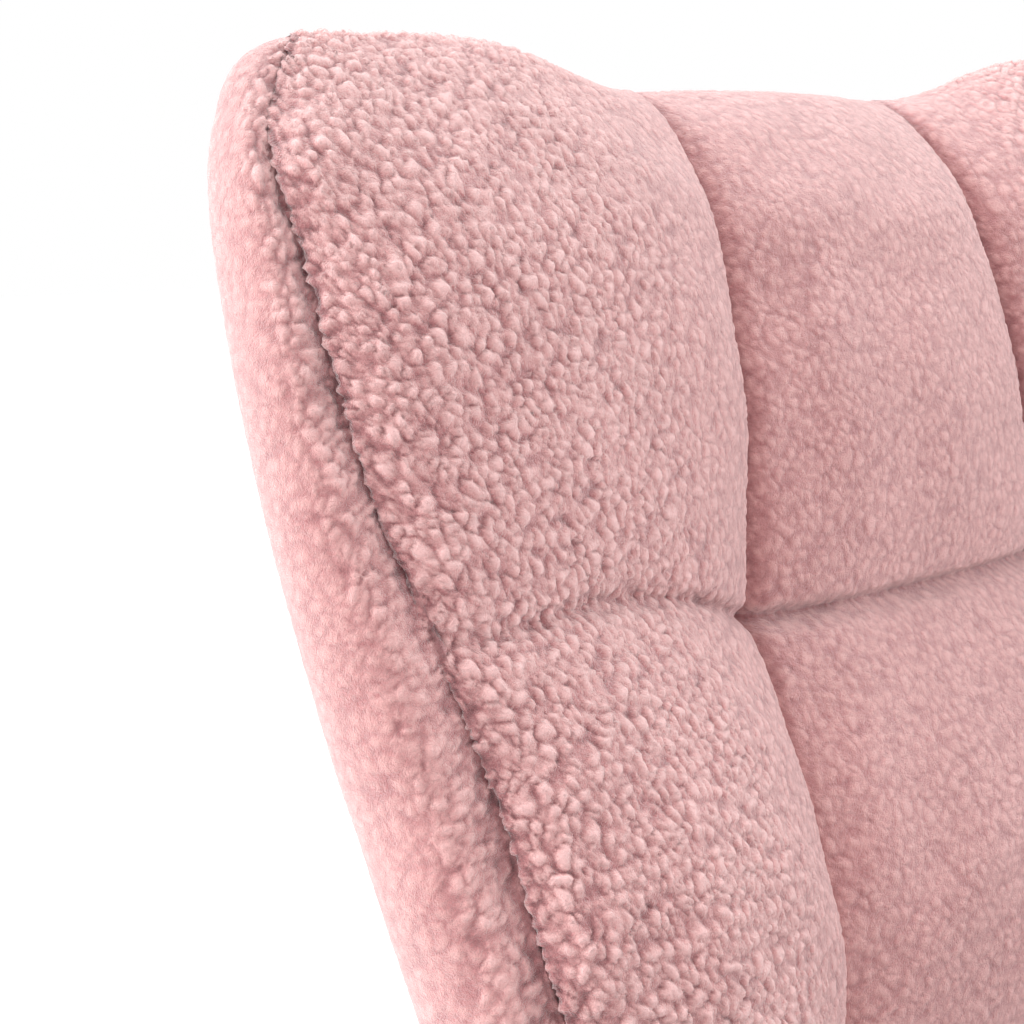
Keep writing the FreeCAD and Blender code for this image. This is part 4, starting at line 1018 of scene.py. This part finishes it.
def swell_cloth(obj, pressure, limit):
    """Fills the cover with air and keeps the shape, at most limit mm away."""
    rest = coordinates(obj.data)
    modifier = obj.modifiers.new("cover", "CLOTH")
    settings = modifier.settings
    settings.quality = 5
    settings.mass = 0.35
    settings.tension_stiffness = 18
    settings.compression_stiffness = 18
    settings.shear_stiffness = 6
    settings.bending_stiffness = 1.2
    settings.use_pressure = True
    settings.uniform_pressure_force = pressure
    settings.effector_weights.gravity = 0
    modifier.collision_settings.use_collision = False
    modifier.point_cache.frame_start, modifier.point_cache.frame_end = 1, CLOTH_FRAMES
    scene = bpy.context.scene
    for number in range(1, CLOTH_FRAMES + 1):
        scene.frame_set(number)
    applied(obj)
    scene.frame_set(1)
    moved = coordinates(obj.data) - rest
    distance = np.linalg.norm(moved, axis=1, keepdims=True)
    moved *= np.minimum(1, limit / np.maximum(distance, TINY))
    set_coordinates(obj.data, rest + moved)


def seat_cushion():
    """The box cushion: swollen by cloth simulation, then crowned and sewn along its sides."""
    obj = bpy.data.objects.new("seat_cushion_cover", NODES["seat_cushion"].data.copy())
    bpy.context.scene.collection.objects.link(obj)
    co = coordinates(obj.data)
    middle = (cushion_lo + cushion_hi) / 2
    co = middle + (co - middle) * np.array([0.975, 0.975, 0.86])
    set_coordinates(obj.data, co)
    remesh = obj.modifiers.new("even", "REMESH")
    remesh.mode, remesh.voxel_size = "VOXEL", 0.0055
    applied(obj)
    swell_cloth(obj, pressure=4.0, limit=15.0)
    co = coordinates(obj.data)
    # the under side lies flat on the deck, and the sides stop at the arms
    floor, half = cushion_lo[2] + 1.0, arm_lo[0] - 3.0
    above = np.maximum(co[:, 2] - floor, 0)
    co[:, 2] = floor + above * lerp(0.25, 1.0, smooth(0, 34, above))
    co[:, 0] = np.clip(co[:, 0], -half, half)
    set_coordinates(obj.data, co)
    finer = obj.modifiers.new("finer", "SUBSURF")
    finer.levels = finer.render_levels = 1
    applied(obj)
    co, out = coordinates(obj.data), read_vectors(obj.data, "normal")
    # crown along the middle, and the two sewn edges of the side strip
    reach = 1 - np.clip(np.abs(co[:, 0]) / half, 0, 1) ** 2.5
    deep = np.clip((co[:, 1] - cushion_lo[1]) / (cushion_hi[1] - cushion_lo[1]), 0, 1)
    top = smooth(0.4, 0.9, out[:, 2])
    co[:, 2] += top * 6.0 * reach * np.sin(math.pi * deep) ** 0.7
    sideways = 1 - np.abs(out[:, 2])
    for level in (cushion_hi[2] - 22, cushion_lo[2] + 20):
        sink = 4.5 * groove(co[:, 2] - level, 3.4) * smooth(0.25, 0.7, sideways)
        co -= out * sink[:, None]
    co += (waves(co, 70, 41) * 1.1)[:, None] * out
    set_coordinates(obj.data, co)
    return grow_pile(obj, CUSHION_PILE * smooth(floor + 1, floor + 10, co[:, 2]))


# ------------------------------------------------------------ assembly


def soft_piece(obj, fill, *replaced):
    """Attaches a padded piece to the chair's body and hides the nodes that it stands for."""
    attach(obj, CHAIR)
    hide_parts(*replaced)


dress_cad_nodes()
soft_piece(quilted_back(), 0.85, "back_centre_pad", "left_wing_pad", "right_wing_pad")
soft_piece(back_shell(), 0.9, "outer_back_cover", "left_wing_border", "right_wing_border")
for arm_name, arm_side in (("left", -1), ("right", 1)):
    soft_piece(arm(f"{arm_name}_arm", arm_side), 0.9, f"{arm_name}_arm_inner_pad",
               f"{arm_name}_arm_outer_cover", f"{arm_name}_arm_border")
soft_piece(seat_cushion(), 0.85, "seat_cushion")
soft_piece(apron(), 0.9, "seat_apron")
soft_piece(deck_pad(), 0.5, "seat_deck_pad")
dust_cover()


# ------------------------------------------------------------ floor, light and camera


def floor():
    far = 12.0
    verts = np.array([(-far, -far, 0), (far, -far, 0), (far, far, 0), (-far, far, 0)])
    obj = mesh_object("floor", verts / MM, [np.array([[0, 1, 2, 3]])])
    material, tree, shader = new_material("floor_pale")
    co = object_place(tree)
    grain = node(tree, "ShaderNodeTexNoise", {"Vector": co, "Scale": 0.02, "Detail": 4.0})
    tree.links.new(ramp(tree, grain.outputs["Fac"], [(0.3, (0.90, 0.90, 0.90, 1)),
                                                     (0.7, (0.93, 0.93, 0.93, 1))]),
                   shader.inputs["Base Color"])
    shader.inputs["Roughness"].default_value = 0.8
    shader.inputs["Specular IOR Level"].default_value = 0.1
    shader.inputs["Emission Color"].default_value = (1.0, 1.0, 1.0, 1.0)
    shader.inputs["Emission Strength"].default_value = 0.14
    obj.data.materials.append(material)


def area_light(name, place, target, size, power):
    light = bpy.data.lights.new(name, "AREA")
    light.shape, light.size, light.energy = "DISK", size, power
    obj = bpy.data.objects.new(name, light)
    bpy.context.scene.collection.objects.link(obj)
    obj.location = place
    obj.rotation_euler = (Vector(target) - Vector(place)).to_track_quat("-Z", "Y").to_euler()


def world():
    made = bpy.data.worlds.new("studio")
    made.use_nodes = True
    background = made.node_tree.nodes["Background"]
    background.inputs[0].default_value = (1.0, 1.0, 1.0, 1.0)
    background.inputs[1].default_value = 1.0
    bpy.context.scene.world = made


def camera():
    """Looks down on the upper corner of the back, from the front of the -x side."""
    azimuth, pitch = math.radians(36.07), math.radians(13.0)
    look = Vector((math.sin(azimuth) * math.cos(pitch), math.cos(azimuth) * math.cos(pitch),
                   -math.sin(pitch)))
    right = Vector((math.cos(azimuth), -math.sin(azimuth), 0))
    data = bpy.data.cameras.new("camera")
    data.lens, data.sensor_width, data.clip_start = 51.6, 36.0, 0.01
    obj = bpy.data.objects.new("camera", data)
    bpy.context.scene.collection.objects.link(obj)
    turn = Matrix((right, right.cross(look), -look)).transposed().to_4x4()
    obj.matrix_world = Matrix.Translation((-0.530, -0.1641, 0.9918)) @ turn
    bpy.context.scene.camera = obj


floor()
world()
area_light("key", (-2.4, 1.2, 1.7), (0, 0.1, 0.8), 1.6, 82)
area_light("side", (2.6, -0.8, 1.9), (0, 0.1, 0.8), 1.2, 54)
area_light("front", (-0.6, -2.4, 2.2), (0, 0.1, 0.8), 1.2, 6)
area_light("top", (-0.4, 0.9, 3.2), (0, 0.1, 0.8), 1.4, 44)
camera()
bpy.context.scene.view_settings.view_transform = "Standard"
bpy.context.scene.view_settings.look = "None"
